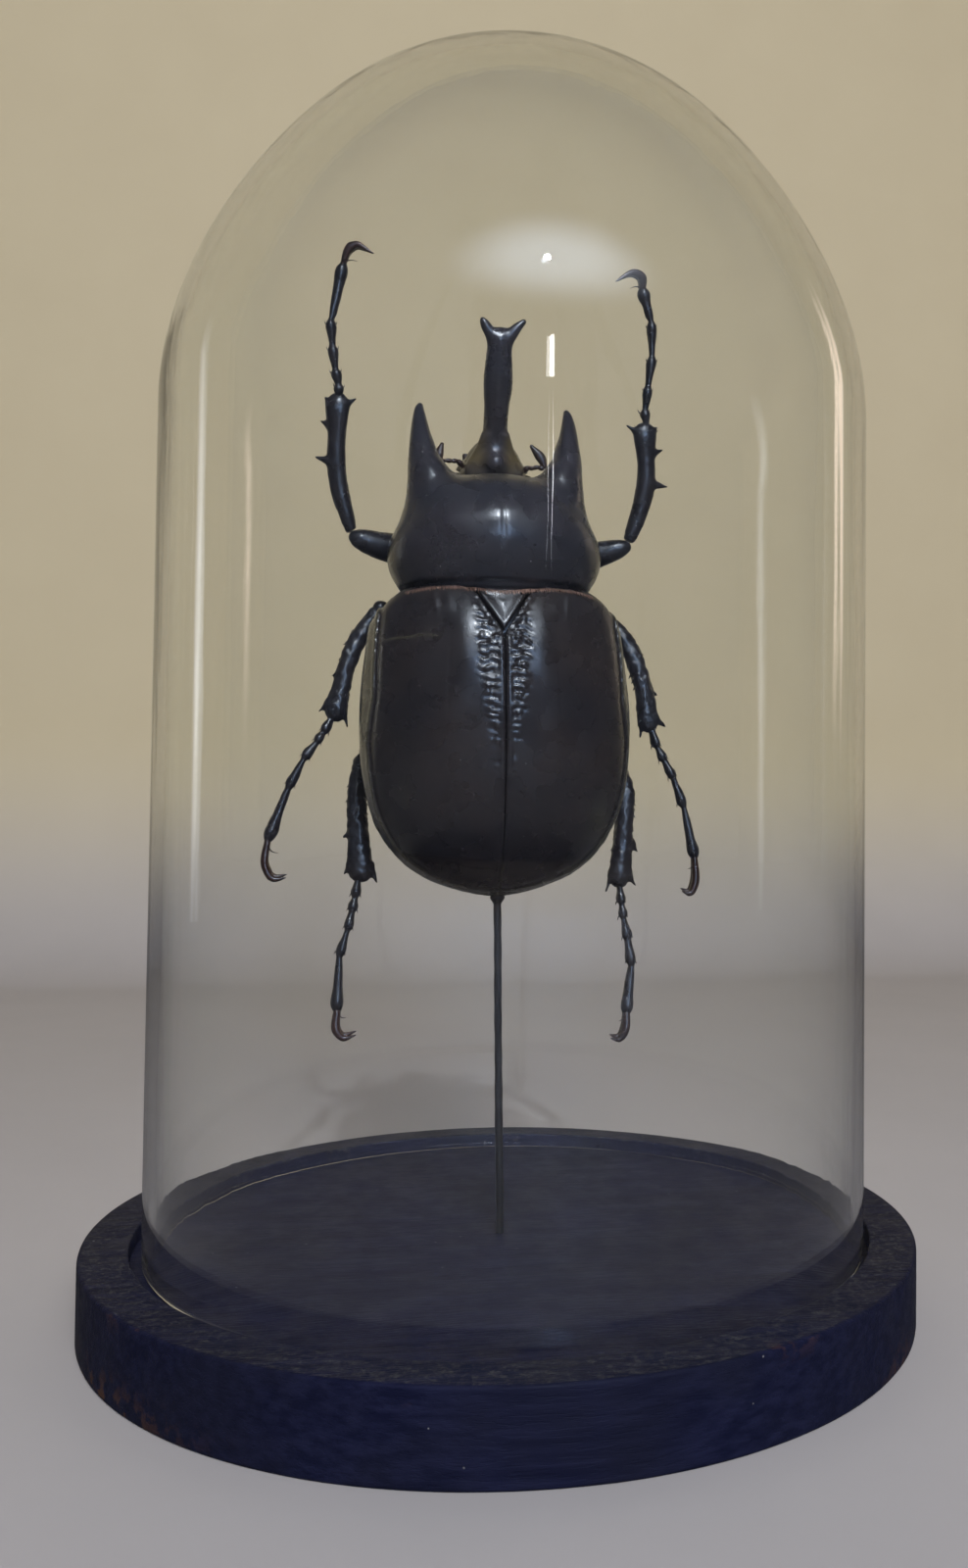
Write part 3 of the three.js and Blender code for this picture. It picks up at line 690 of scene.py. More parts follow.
def dark_steel():
    """Dark drawn steel with a breath of rust."""
    material, tree, shader = new_material("dark_rod")
    drawn = cloud(tree, 1.0, 4.0, 0.6, (1, 1, 0.08))
    colour = blend(tree, ranged(tree, drawn, 0.35, 0.7), (0.016, 0.015, 0.018), (0.04, 0.036, 0.036))
    rust = ranged(tree, cloud(tree, 2.5, 5.0, 0.65), 0.6, 0.72, 0.0, 0.5)
    colour = blend(tree, rust, colour, (0.05, 0.028, 0.02))
    tree.links.new(colour, shader.inputs["Base Color"])
    tree.links.new(ranged(tree, drawn, 0.3, 0.7, 0.28, 0.45), shader.inputs["Roughness"])
    tree.links.new(bump(tree, drawn, 0.015), shader.inputs["Normal"])
    shader.inputs["Metallic"].default_value = 0.75
    return material


def pale_floor():
    """Pale paper, a little darker on the floor than on the wall, with painted shade where the floor is
    mirrored.
    """
    material, tree, shader = new_material("pale_floor")
    soft = cloud(tree, 60.0, 3.0)
    floor = blend(tree, soft, (0.385, 0.355, 0.345), (0.425, 0.39, 0.38))
    shade_when_mirrored = tree.nodes.new("ShaderNodeLightPath").outputs["Glossy Depth"]
    # Painted shade: the floor turns darker wherever it is seen in a reflection.
    floor = blend(tree, shade_when_mirrored, floor, (0.17, 0.16, 0.165))
    wall = blend(tree, soft, (0.52, 0.435, 0.285), (0.56, 0.475, 0.315))
    tree.links.new(blend(tree, painted(tree, "tint"), floor, wall), shader.inputs["Base Color"])
    shader.inputs["Roughness"].default_value = 0.8
    return material


# ---- turned pieces ----
def turned(profile, sides, wave=None):
    """A closed body turned from (r, z) pairs that start and end on the axis or form a ring."""
    profile = np.asarray(profile, float)
    angle = np.linspace(0, 2 * np.pi, sides, endpoint=False)
    r, angle = np.meshgrid(profile[:, 0], angle, indexing="ij")
    z = np.broadcast_to(profile[:, 1][:, None], r.shape)
    if wave is not None:
        r = r + wave(angle, z, r)
    points = np.stack([r * np.cos(angle), r * np.sin(angle), z], -1).reshape(-1, 3)
    return points, ring_quads(len(profile), sides)


def rounded(corners, steps=6):
    """A profile of (r, z, fillet radius) corners with each corner rounded."""
    out = []
    for i, (r, z, fillet) in enumerate(corners):
        here = np.array([r, z])
        if fillet == 0:
            out.append(here)
            continue
        before = np.array(corners[i - 1][:2]) - here
        after = np.array(corners[(i + 1) % len(corners)][:2]) - here
        start = here + before / length(before) * fillet
        end = here + after / length(after) * fillet
        for t in np.linspace(0, 1, steps):
            out.append((1 - t) ** 2 * start + 2 * t * (1 - t) * here + t**2 * end)
    return out


def filled(profile, longest):
    """The profile with no stretch longer than `longest`."""
    out = [np.asarray(profile[0], float)]
    for point in profile[1:]:
        count = max(1, math.ceil(length(np.asarray(point, float) - out[-1]) / longest))
        start = out[-1]
        for i in range(1, count + 1):
            out.append(start + (np.asarray(point, float) - start) * i / count)
    return out


def make_base():
    """The wooden disc, with dust and a painted sheen on its flat faces, strongest outside the bell, and
    bare wood at its foot and edge.
    """
    radius, height, floor = BASE["radius"], BASE["height"], BASE["floor"]
    corners = [
        (0.02, 0.0, 0), (radius, 0.0, 0.9), (radius, height, BASE["edge"]),
        (BASE["recess"], height, 0.45), (BASE["recess"] - 0.1, floor, 0.3), (0.02, floor, 0),
    ]

    def dents(angle, z, r):
        p = np.stack([r * np.cos(angle), r * np.sin(angle), z], -1)
        return 0.05 * noise(p, 9.0) * (r > 60)

    points, faces = turned(filled(rounded(corners), 2.8), 360, dents)
    turn = np.degrees(np.arctan2(points[:, 1], points[:, 0]))
    rim = length(points[:, :2])
    z = points[:, 2]
    foot = bell(z, 0.0, 3.4) * (rim > radius - 2)
    worn_left, worn_right = bell(turn, -152, 14), 0.6 * bell(turn, -38, 5)
    chips = 0.35 * bell(rim, radius, 0.8) * bell(z, height, 0.8) * (noise(points, 7.0, 3.3) > 0.45)
    worn = np.clip(foot * (worn_left + worn_right) + chips, 0, 1)
    obj = world_mesh("turned_base", points, faces, black_wood(), worn)
    # Painted sheen mixed with dust: strong on the top ring outside the bell, faint on the floor inside it.
    dust_and_sheen = (z > floor - 0.5) * (rim < radius - 0.5) * np.where(rim < BASE["recess"], 0.08, 0.75)
    paint(obj.data, "dust_and_sheen", dust_and_sheen)
    finish_piece(obj, "base")


def dome_wall(inset, count):
    """One face of the bell from its top to the shoulder, as (r, z)."""
    angle = np.linspace(0, np.pi / 2, count)
    radius, cap = DOME["radius"] - inset, DOME["cap"] - inset
    r = radius * np.sin(angle) * (1 - DOME["pinch"] * np.sin(2 * angle) ** 2)
    return np.stack([np.maximum(r, 0.02), DOME["top"] - inset - cap * (1 - np.cos(angle))], -1)


def make_dome():
    """The glass bell: one turned wall with a round lip. It casts no shadow, as thin clear glass."""
    wall, radius = DOME["wall"], DOME["radius"]
    outer, inner = dome_wall(0, 60), dome_wall(wall, 60)[::-1]
    turn = np.linspace(0, np.pi, 13)
    middle = radius - wall / 2
    lip = np.stack([middle + wall / 2 * np.cos(turn), DOME_FOOT + wall / 2 * (1 - np.sin(turn))], -1)
    down, up = filled([outer[-1], lip[0]], 7.0)[1:-1], filled([lip[-1], inner[0]], 7.0)[1:-1]
    profile = np.vstack([outer, down, lip, up, inner])

    def waves(angle, z, r):
        p = np.stack([45 * np.cos(angle), 45 * np.sin(angle), 0.12 * z + (r < middle) * 40.0], -1)
        return 0.07 * noise(p, 11.0, 0.7) * np.minimum(r / 50, 1)

    points, faces = turned(profile[::-1], 240, waves)
    points[:, 0] += DOME["shift"]
    dome = world_mesh("glass_bell", points, faces, clear_glass())
    dome.visible_shadow = False
    finish_piece(dome, "glass_dome")


def make_rod():
    """The thin rod, with the small collar that the beetle's tail rests on."""
    radius, collar = ROD["radius"], ROD["collar"]
    corners = [
        (0.02, ROD["foot"], 0), (radius, ROD["foot"], 0.2), (radius, collar, 0.3),
        (ROD["collar_radius"], collar + 1.3, 0.3), (ROD["collar_radius"] * 0.8, collar + 1.8, 0.2),
        (radius, collar + 2.3, 0.2), (radius, ROD["top"], 0.2), (0.02, ROD["top"], 0),
    ]

    def uneven(angle, z, r):
        return 0.035 * np.sin(z * 0.9 + 2 * angle) * (r > 0.5)

    points, faces = turned(filled(rounded(corners), 1.2), 28, uneven)
    finish_piece(world_mesh("rod", stand_up(points), faces, dark_steel()), "mounting_pin")


# ---- front body ring ----
PRONOTUM_HORN = [
    [11.6, -3.0, 145.0, 6.2, 6.6],
    [12.6, -3.2, 150.0, 5.5, 6.2],
    [13.4, -3.4, 153.6, 4.5, 5.2],
    [14.5, -3.0, 157.2, 3.35, 3.9],
    [15.0, -2.4, 161.0, 2.55, 2.9],
    [15.35, -1.4, 165.0, 1.75, 2.0],
    [15.4, -0.6, 168.2, 1.1, 1.25],
    [15.15, -0.2, 169.6, 0.6, 0.7],
]


def mirrored(p, side):
    """The points as seen from the left or right side, whose outward axis is then positive."""
    q = p.copy()
    q[:, 0] *= side
    return q


# Hollows round the first leg pieces: the right one's centre and radii.
HIPS = {
    "front": [(9.4, 13.8, 140.2), (4.6, 3.9, 3.9)],
    "middle": [(9.2, 16.6, 119.2), (5.2, 4.2, 3.4)],
    "hind": [(9.2, 16.2, 105.8), (5.4, 4.2, 3.3)],
}


def hollowed(body, p, pair, k=0.8):
    """The body with the hollows of one pair of legs."""
    (u, v, w), radii = HIPS[pair]
    for side in (LEFT, RIGHT):
        body = smooth_max(body, -ball(p, (side * u, v, w), radii), k)
    return body


def pronotum_shape(p):
    """The front body ring with its two horns, a fine middle line and a hollow for the head."""
    u, w = p[:, 0], p[:, 2]
    body = trunk(p, PRONOTUM, side_power=2.15)
    rear = 129.4 - 0.9 * bell(u, 0, 7) + 0.8 * (np.abs(u) / 20) ** 4 - w
    front = w - (154.4 - 0.3 * (np.abs(u) / 8) ** 2)
    body = smooth_max(body, rear, 2.2)
    body = smooth_max(body, front, 2.6)
    for side in (LEFT, RIGHT):
        body = smooth_min(body, limb(mirrored(p, side), PRONOTUM_HORN), 3.4)
    line = 0.16 * bell(u, 0, 0.45) * step_up(w, 137, 141) * step_up(-w, -152.5, -149)
    ridge = 0.35 * bell(u, 0, 4.2) * bell(w, 142, 9)
    hollow = 0.45 * bell(np.abs(u), 6.5, 3.2) * bell(w, 149, 3.6)
    rim = 0.3 * bell(w, 131.4, 0.5) * (p[:, 1] < MARGIN)
    soft = 0.07 * noise(p, 5.5) + 0.02 * noise(p, 1.3, 2.2)
    on_back = p[:, 1] < 0
    body = body + on_back * (line + hollow - ridge) + rim + soft
    body = hollowed(body, p, "front", 0.6)
    return smooth_max(body, -ball(p, (0, 4.6, 155.6), (8.3, 6.6, 5.6)), 0.8)


def rear_fringe():
    """Short red-brown hairs that lie over the front edge of the wing cases, all along it."""
    dice = np.random.default_rng(5)
    u = np.linspace(-18.5, 18.5, 260) + dice.normal(0, 0.05, 260)
    edge = 130.3 - 1.2 * bell(u, 0, 6.5) - 0.9 * (np.abs(u) / 18.5) ** 6
    long = dice.uniform(0.3, 0.85, len(u))
    bent = dice.normal(0, 0.16, len(u))
    roots = on_vault(u, edge + 0.35, 0.1)
    middles = on_vault(u + 0.5 * bent, edge - 0.5 * long, -0.2)
    tips = on_vault(u + bent, edge - long, -0.3)
    return [spike(list(hair), [0.06, 0.05, 0.02], 4) for hair in zip(roots, middles, tips)]


def on_vault(u, w, depth):
    """Points on the wing cases' skin at u and w, moved inwards by depth."""
    outer, inner = np.full(len(u), -22.0), np.full(len(u), -8.0)
    for _ in range(24):
        v = (outer + inner) / 2
        inside = vault_shape(np.stack([u, v, w], -1)) < 0
        inner = np.where(inside, v, inner)
        outer = np.where(inside, outer, v)
    return np.stack([u, v + depth, w], -1)


def make_pronotum(material, hair):
    """The front body ring, and the hairs along its rear edge."""
    shell = surface(pronotum_shape, (-23, -18.5, 126), (23, 17.5, 171), 0.42)
    beetle_piece("pronotum", material, [shell], pronotum_tint)

    points, faces = joined(rear_fringe())
    obj = world_mesh("beetle_pronotum_fringe", stand_up(points), faces, hair, np.zeros(len(points)))
    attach(obj, "root")


def pronotum_tint(p):
    """Brown shows at the front rim between the horns and along the lower sides."""
    front = bell(p[:, 2], 153.2, 1.6) * bell(p[:, 0], 0, 9) * (p[:, 1] < 2)
    side = 0.5 * bell(np.abs(p[:, 0]), 21.5, 1.6)
    return np.clip(0.55 * front + side, 0, 1)


# ---- head ----
HEAD_CAPSULE = [
    [0, 3.5, 151.0, 6.2, 4.8],
    [0, 3.8, 153.8, 7.1, 5.6],
    [0, 4.0, 156.8, 6.7, 5.4],
    [0, 4.6, 159.8, 5.0, 4.4],
    [0, 5.4, 162.6, 3.2, 2.4],
]
HEAD_HORN = [
    [0, 3.4, 156.0, 5.6, 4.0],
    [0, 1.6, 159.4, 4.5, 3.5],
    [0, 0.0, 162.0, 3.1, 2.9],
    [0, -1.8, 165.0, 2.55, 2.6],
    [0, -4.6, 169.0, 2.6, 2.5],
    [0, -7.2, 173.0, 3.0, 2.3],
    [0, -10.0, 177.8, 2.6, 1.9],
    [0.1, -11.3, 180.3, 2.4, 1.6],
]
HORN_PRONGS = {
    LEFT: [
        [-1.0, -11.2, 180.2, 1.5, 1.4],
        [-2.3, -11.8, 181.8, 1.15, 1.05],
        [-3.1, -12.1, 183.0, 0.85, 0.8],
        [-3.4, -12.2, 183.5, 0.6, 0.6],
    ],
    RIGHT: [
        [0.9, -11.2, 180.0, 1.6, 1.4],
        [2.4, -11.9, 181.4, 1.2, 1.05],
        [3.7, -12.2, 182.7, 0.9, 0.8],
        [4.7, -12.4, 183.6, 0.55, 0.55],
    ],
}


def head_shape(p):
    """The head capsule and its forked horn, with cheeks, side ridges and a keel along the horn."""
    u, v, w = p.T
    head = limb(p, HEAD_CAPSULE)
    head = smooth_min(head, limb(p, HEAD_HORN), 2.0)
    head = smooth_min(head, ball(p, (0, -1.2, 158.0), (2.5, 2.6, 2.3)), 1.4)
    for side in (LEFT, RIGHT):
        q = mirrored(p, side)
        head = smooth_min(head, limb(p, HORN_PRONGS[side]), 0.9)
        ridge = limb(q, [[5.2, 0.6, 157.2, 1.0], [3.6, -0.4, 160.0, 0.8], [2.2, -2.6, 163.4, 0.7]])
        head = smooth_min(head, ridge, 1.2)
        cheek = limb(q, [[5.8, 4.4, 154.0, 1.4], [6.9, 4.6, 156.8, 1.1], [6.0, 5.0, 159.2, 0.8]])
        head = smooth_min(head, cheek, 1.0)
        head = smooth_max(head, -ball(q, (7.6, 5.2, 155.2), (2.3, 2.5, 2.7)), 0.4)
    groove = 0.5 * bell(u, 0, 0.9) * bell(w, 162.5, 1.6) * (v < 2)
    keel = 0.28 * bell(u, 0, 0.7) * step_up(w, 165, 168) * step_up(-w, -181, -178) * (v < -1)
    soft = 0.05 * noise(p, 2.2) + 0.03 * noise(p, 0.9, 1.4)
    return head + groove - keel + soft


def head_tint(p):
    """The horn's foot and the flanks of the head are translucent olive brown."""
    foot = bell(p[:, 2], 160.5, 4.2) * step_up(np.abs(p[:, 0]), 0.8, 3.4)
    return np.clip(0.85 * foot + 0.35 * step_up(noise(p, 3.0), 0.2, 0.7) * bell(p[:, 2], 164, 7), 0, 1)


def make_eye(name, side, material):
    """One eye, a little rough all over."""
    centre = np.array([side * 7.4, 5.2, 155.2])

    def shape(p):
        return ball(p, centre, (2.0, 2.2, 2.35)) + 0.03 * noise(p, 0.5)

    beetle_piece("eye_" + name, material, [surface(shape, centre - 2.6, centre + 2.6, 0.2)])


def make_head(shells):
    """The head with its horn, eyes, antennae and mouthparts."""
    head = surface(head_shape, (-8.5, -15, 149), (8.5, 10, 185.5), 0.28)
    beetle_piece("head", shells["shell_head"], [head], head_tint)
    for name, side in SIDES.items():
        make_eye(name, side, shells["eye"])
        make_antenna(name, shells["shell_antenna"])
    make_mouth(shells["shell_antenna"])


ANTENNA = {
    "left": [[-6.3, 2, 158], [-7.4, 1, 158.9], [-8.6, 0.4, 158.7], [-9.8, 0.2, 158.7], [-11.4, 0, 158.2]],
    "right": [[6.1, 2.0, 157.4], [7.2, 1.0, 158.2], [8.2, 0.4, 157.8], [9.2, 0.2, 158.2], [10.2, 0, 157.7]],
}
CLUB = {
    "left": [[-11.4, 0, 158.4, 0.5, 0.5], [-11.3, 0, 159.9, 0.95, 0.8], [-10.7, 0, 161.9, 0.45, 0.45]],
    "right": [[10.6, 0, 158.1, 0.5, 0.5], [9.7, 0, 160.2, 0.95, 0.8], [7.9, 0, 162.3, 0.45, 0.45]],
}


def antenna_beads(joints):
    """Each joint of an antenna as a bead that is widest two thirds of the way along."""
    beads = []
    for i, (a, b) in enumerate(zip(joints, joints[1:])):
        wide = 0.62 if i == 0 else 0.5
        beads.append([[*a, wide * 0.6], [*(a * 0.35 + b * 0.65), wide], [*b, wide * 0.55]])
    return beads


def make_antenna(name, material):
    """An elbowed antenna with a club of three thin leaves."""
    joints = np.array(ANTENNA[name], float)
    beads, club = antenna_beads(joints), CLUB[name]

    def shape(p):
        leaves = 0.14 * bell(np.abs(p[:, 1]), 0.28, 0.09)
        return smooth_min(limbs(p, beads, 0.12, 3), limb(p, club) + leaves, 0.2) + 0.02 * noise(p, 0.6)

    ends = np.vstack([joints, np.array(club)[:, :3]])
    grown = surface(shape, ends.min(0) - 1.3, ends.max(0) + 1.3, 0.13)
    beetle_piece("antenna_" + name, material, [grown])


MOUTH = {
    "jaw": [[1.6, 8.6, 159.0, 1.8, 1.5], [2.4, 8.8, 162.4, 1.4, 1.2], [1.8, 8.4, 164.8, 0.5, 0.5]],
    "palp": [[2.4, 10.0, 157.4, 0.8], [4.2, 10.4, 158.8, 0.55], [5.0, 10.6, 159.8, 0.75],
             [5.2, 10.5, 161.4, 0.5], [5.2, 10.4, 162.6, 0.6]],
    "chin": [[0, 9.4, 153.8, 3.0, 1.4], [0, 10.0, 158.0, 3.2, 1.4], [0, 9.6, 160.6, 2.2, 1.1]],
}


def mouth_hairs():
    """A row of short hairs along the lip, pointing forwards."""
    dice = np.random.default_rng(11)
    count, lean, long = 40, np.array([0.0, 0.5, 1.0]), 1.6
    parts = []
    for t in np.linspace(0, 1, count):
        t = min(max(t + dice.normal(0, 0.4 / count), 0), 1)
        root = np.array([-2.6 + 5.2 * t, 9.0, 160.8])
        way = lean + dice.normal(0, 0.22, 3)
        tip = root + way / length(way) * long * dice.uniform(0.6, 1.15)
        middle = (root + tip) / 2 + dice.normal(0, 0.07, 3)
        parts.append(spike([root, middle, tip], [0.075, 0.06, 0.02], 4))
    return parts


def make_mouth(material):
    """Chin, jaws and jointed palps."""
    def shape(p):
        mouth = limb(p, MOUTH["chin"]) + 0.1 * bell(p[:, 0], 0, 0.3)
        for side in (LEFT, RIGHT):
            q = mirrored(p, side)
            mouth = smooth_min(mouth, limb(q, MOUTH["jaw"]), 0.5)
            mouth = smooth_min(mouth, limb(q, MOUTH["palp"]), 0.25)
        return mouth + 0.06 * noise(p, 0.9)

    grown = surface(shape, (-6.6, 6, 151.5), (6.6, 12.5, 166), 0.3)
    beetle_piece("mouthparts", material, [grown] + mouth_hairs())


# ---- wing cases ----
SHELL = 1.1  # thickness of a wing case
SEAM = 0.05  # half the gap between the two


def scutellum_plan(p):
    """Distance inside the little shield's outline, seen from the back."""
    u, w = np.abs(p[:, 0]), p[:, 2]
    side = u * 0.842 - (w - 121.4) * 0.539
    return smooth_max(side, w - 130.2, 0.4)


def wrinkles(p):
    """Cross wrinkles beside the seam, strongest behind the shield and fading to the tail."""
    u, w = np.abs(p[:, 0]), p[:, 2]
    heights = [82, 90, 98, 106, 112, 118, 124, 128]
    reach = np.interp(w, heights, [0.9, 1.2, 1.9, 3.0, 3.9, 4.4, 4.4, 5.4])
    reach = reach + 0.5 * noise(p, 3.1, 12.2)
    zone = step_up(u, 0.95, 1.7) * step_up(-u, -reach - 1.7, -reach + 0.5)
    power = np.interp(w, heights, [0.0, 0.3, 0.5, 0.8, 1.0, 1.0, 0.9, 0.3])
    wave = np.sin(2 * np.pi * w / 1.55 + 3.4 * noise(p, 2.0, 4.1) + p[:, 0] * 0.6)
    lumps = noise(p, 1.05, 9.5)
    return zone * power * (0.15 * wave + 0.27 * lumps + 0.1 * noise(p, 0.55, 3.0))


def creases(p):
    """Short folds at the shoulders, faint long lines, and dents beside the shield."""
    u, w = p[:, 0], p[:, 2]
    wide = np.abs(u)
    folds = 0.26 * bell(wide, 13.0 + 0.12 * (w - 127), 0.55) * bell(w, 127.2, 2.2)
    folds += 0.22 * bell(wide, 10.6, 1.1) * bell(w, 126.6, 2.4)
    blister = 0.42 * bell(wide, 7.6, 2.6) * bell(w, 119.5, 6.5)
    long_line = 0.07 * bell(wide, 10.8 - 0.04 * (w - 110), 0.25) * bell(w, 113, 9)
    beside_shield = 0.55 * bell(scutellum_plan(p), 0.9, 0.7) * step_up(w, 119.5, 122)
    waves = 0.03 * np.sin(wide * 0.9 + 0.05 * w) * step_up(w, 84, 100)
    return folds + blister - long_line - beside_shield + waves + 0.08 * crack_at(p)


def crack_at(p):
    """The fine crack across the front of the left wing case, from 0 to 1."""
    u, w = p[:, 0], p[:, 2]
    return bell(w, 120.2 + 0.5 * noise(p, 4.0, 8.0), 0.22) * step_up(-u, 11.5, 14) * step_up(u, -24, -21)


def outside_rim(p):
    """Millimetres outside the raised rim of the wing cases, as seen from the back."""
    def half(w):
        inset = np.interp(w, [70, 77, 84, 92, 100, 109, 118, 128], [0, 0.2, 0.8, 1.1, 1.3, 2.6, 2.2, 1.8])
        return trunk_sizes(ELYTRA, np.maximum(w - 1.2, TAIL), TAIL)[0] - inset

    w = p[:, 2]
    slope = (half(w + 0.25) - half(w - 0.25)) / 0.5
    return (np.abs(p[:, 0]) - half(w)) / np.sqrt(1 + slope * slope)


def vault_shape(p):
    """The outer skin of both wing cases, with the seam, rim, wrinkles and creases."""
    u, w = p[:, 0], p[:, 2]
    body = trunk(p, ELYTRA, tip=TAIL)
    front = w - (131.2 - 5.4 * step_up(np.abs(u), 17.5, 27.5))
    body = smooth_max(body, front, 2.6)
    outside = outside_rim(p)
    rim = 0.3 * bell(outside, 0, 0.36) - 0.16 * bell(outside, -0.8, 0.5)
    wide = np.abs(u)
    groove = (0.1 + 0.2 * step_up(w, 84, 104)) * bell(wide, 0, 0.2)
    seam = 0.17 * bell(wide, 0.8, 0.35) * step_up(-w, -124, -121) - groove
    soft = 0.07 * noise(p, 14.0, 1.1) + 0.015 * noise(p, 3.2, 6.0)
    return body - (rim + seam + wrinkles(p) + creases(p) + soft)


def elytron_shape(side):
    """One wing case: a shell from the vault, cut at the seam, the body ring and the shield."""
    def shape(p):
        inside = trunk(p, ELYTRA, tip=TAIL) + SHELL
        case = smooth_max(vault_shape(p), -inside, 0.35)
        case = smooth_max(case, SEAM - side * p[:, 0], 0.25)
        case = smooth_max(case, p[:, 1] - (MARGIN + 2.4), 0.5)
        case = smooth_max(case, pronotum_clearance(p), 0.6)
        return smooth_max(case, 0.35 - scutellum_plan(p), 0.5)

    return shape


def elytra_tint(p):
    """The flanks outside the rim, the rim and the tail edge show olive brown, a painted reflection of the
    warm wall.
    """
    outside = outside_rim(p)
    # Painted reflection of the warm wall on the flanks, the rim and the tail edge.
    edge = 0.45 * step_up(outside, -0.3, 1.0) + 0.5 * bell(outside, 0.05, 0.32)
    red = 0.25 * bell(np.abs(p[:, 0]), 21, 4) * bell(p[:, 2], 84, 12)
    crack = 0.5 * crack_at(p)
    return np.clip(edge + crack + red * step_up(noise(p, 6.0, 2.0), -0.2, 0.6), 0, 1)


def make_elytra(material):
    """The two wing cases."""
    for name, side in SIDES.items():
        left, right = sorted((side * 28.8, side * -0.1))
        half = surface(elytron_shape(side), (left, -20.4, 68.6), (right, 5.2, 132.2), 0.35)
        beetle_piece("elytron_" + name, material, [half], elytra_tint)


def scutellum_shape(p):
    """The little smooth shield at the front of the seam, a shallow dish with raised sides."""
    plan = scutellum_plan(p)
    back = trunk(p, ELYTRA, tip=TAIL) + 0.25 + 0.35 * bell(plan, -2.2, 1.6)
    thick = smooth_max(back, -(back + 2.6), 0.3)
    return smooth_max(thick, plan + 0.1, 0.7) + 0.03 * noise(p, 2.0)


def make_scutellum(material):
    """The little shield."""
    shield = surface(scutellum_shape, (-6.4, -19.4, 119.6), (6.4, -11.5, 131.4), 0.22)
    beetle_piece("scutellum", material, [shield])


# ---- underside ----
def thorax_shape(p):
    """The middle body ring, with the lines between its plates underneath."""
    u, v, w = p.T
    body = trunk(p, THORAX)
    body = smooth_max(body, 104.2 - w, 2.0)
    body = smooth_max(body, w - 129.6, 2.0)
    under = v > MARGIN
    middle = 0.5 * bell(u, 0, 0.5) * under
    plates = 0.4 * bell(w - 0.35 * np.abs(u), 112.0, 0.45) * under
    body = body + middle + plates + 0.12 * noise(p, 1.6) * under
    body = hollowed(hollowed(body, p, "middle"), p, "hind")
    return smooth_max(body, pronotum_clearance(p), 0.4)


def pronotum_clearance(p):
    """Positive inside the front body ring, so that the thorax ends before it."""
    ring = smooth_max(trunk(p, PRONOTUM, side_power=2.15), 129.0 - p[:, 2], 1.0)
    return 0.5 - ring


SEGMENTS = [76.2, 81.4, 86.6, 91.8, 97.2]  # w of the grooves between the rings


def abdomen_shape(p):
    """The hind body, ringed underneath."""
    v, w = p[:, 1], p[:, 2]
    body = trunk(p, ABDOMEN, tip=ABDOMEN[0][0])
    body = smooth_max(body, w - 103.8, 2.0)
    under = v > MARGIN - 2
    rings = sum(0.55 * bell(w - 0.02 * p[:, 0] ** 2, edge, 0.4) for edge in SEGMENTS)
    return hollowed(body + (rings + 0.1 * noise(p, 1.4)) * under, p, "hind")


def make_underside(material):
    """The middle body ring and the hind body."""
    thorax = surface(thorax_shape, (-24.5, -11.5, 103), (24.5, 18.6, 131), 0.6)
    beetle_piece("thorax_underside", material, [thorax])
    abdomen = surface(abdomen_shape, (-24.8, -11.5, 69), (24.8, 16.6, 104.5), 0.6)
    beetle_piece("abdomen", material, [abdomen])


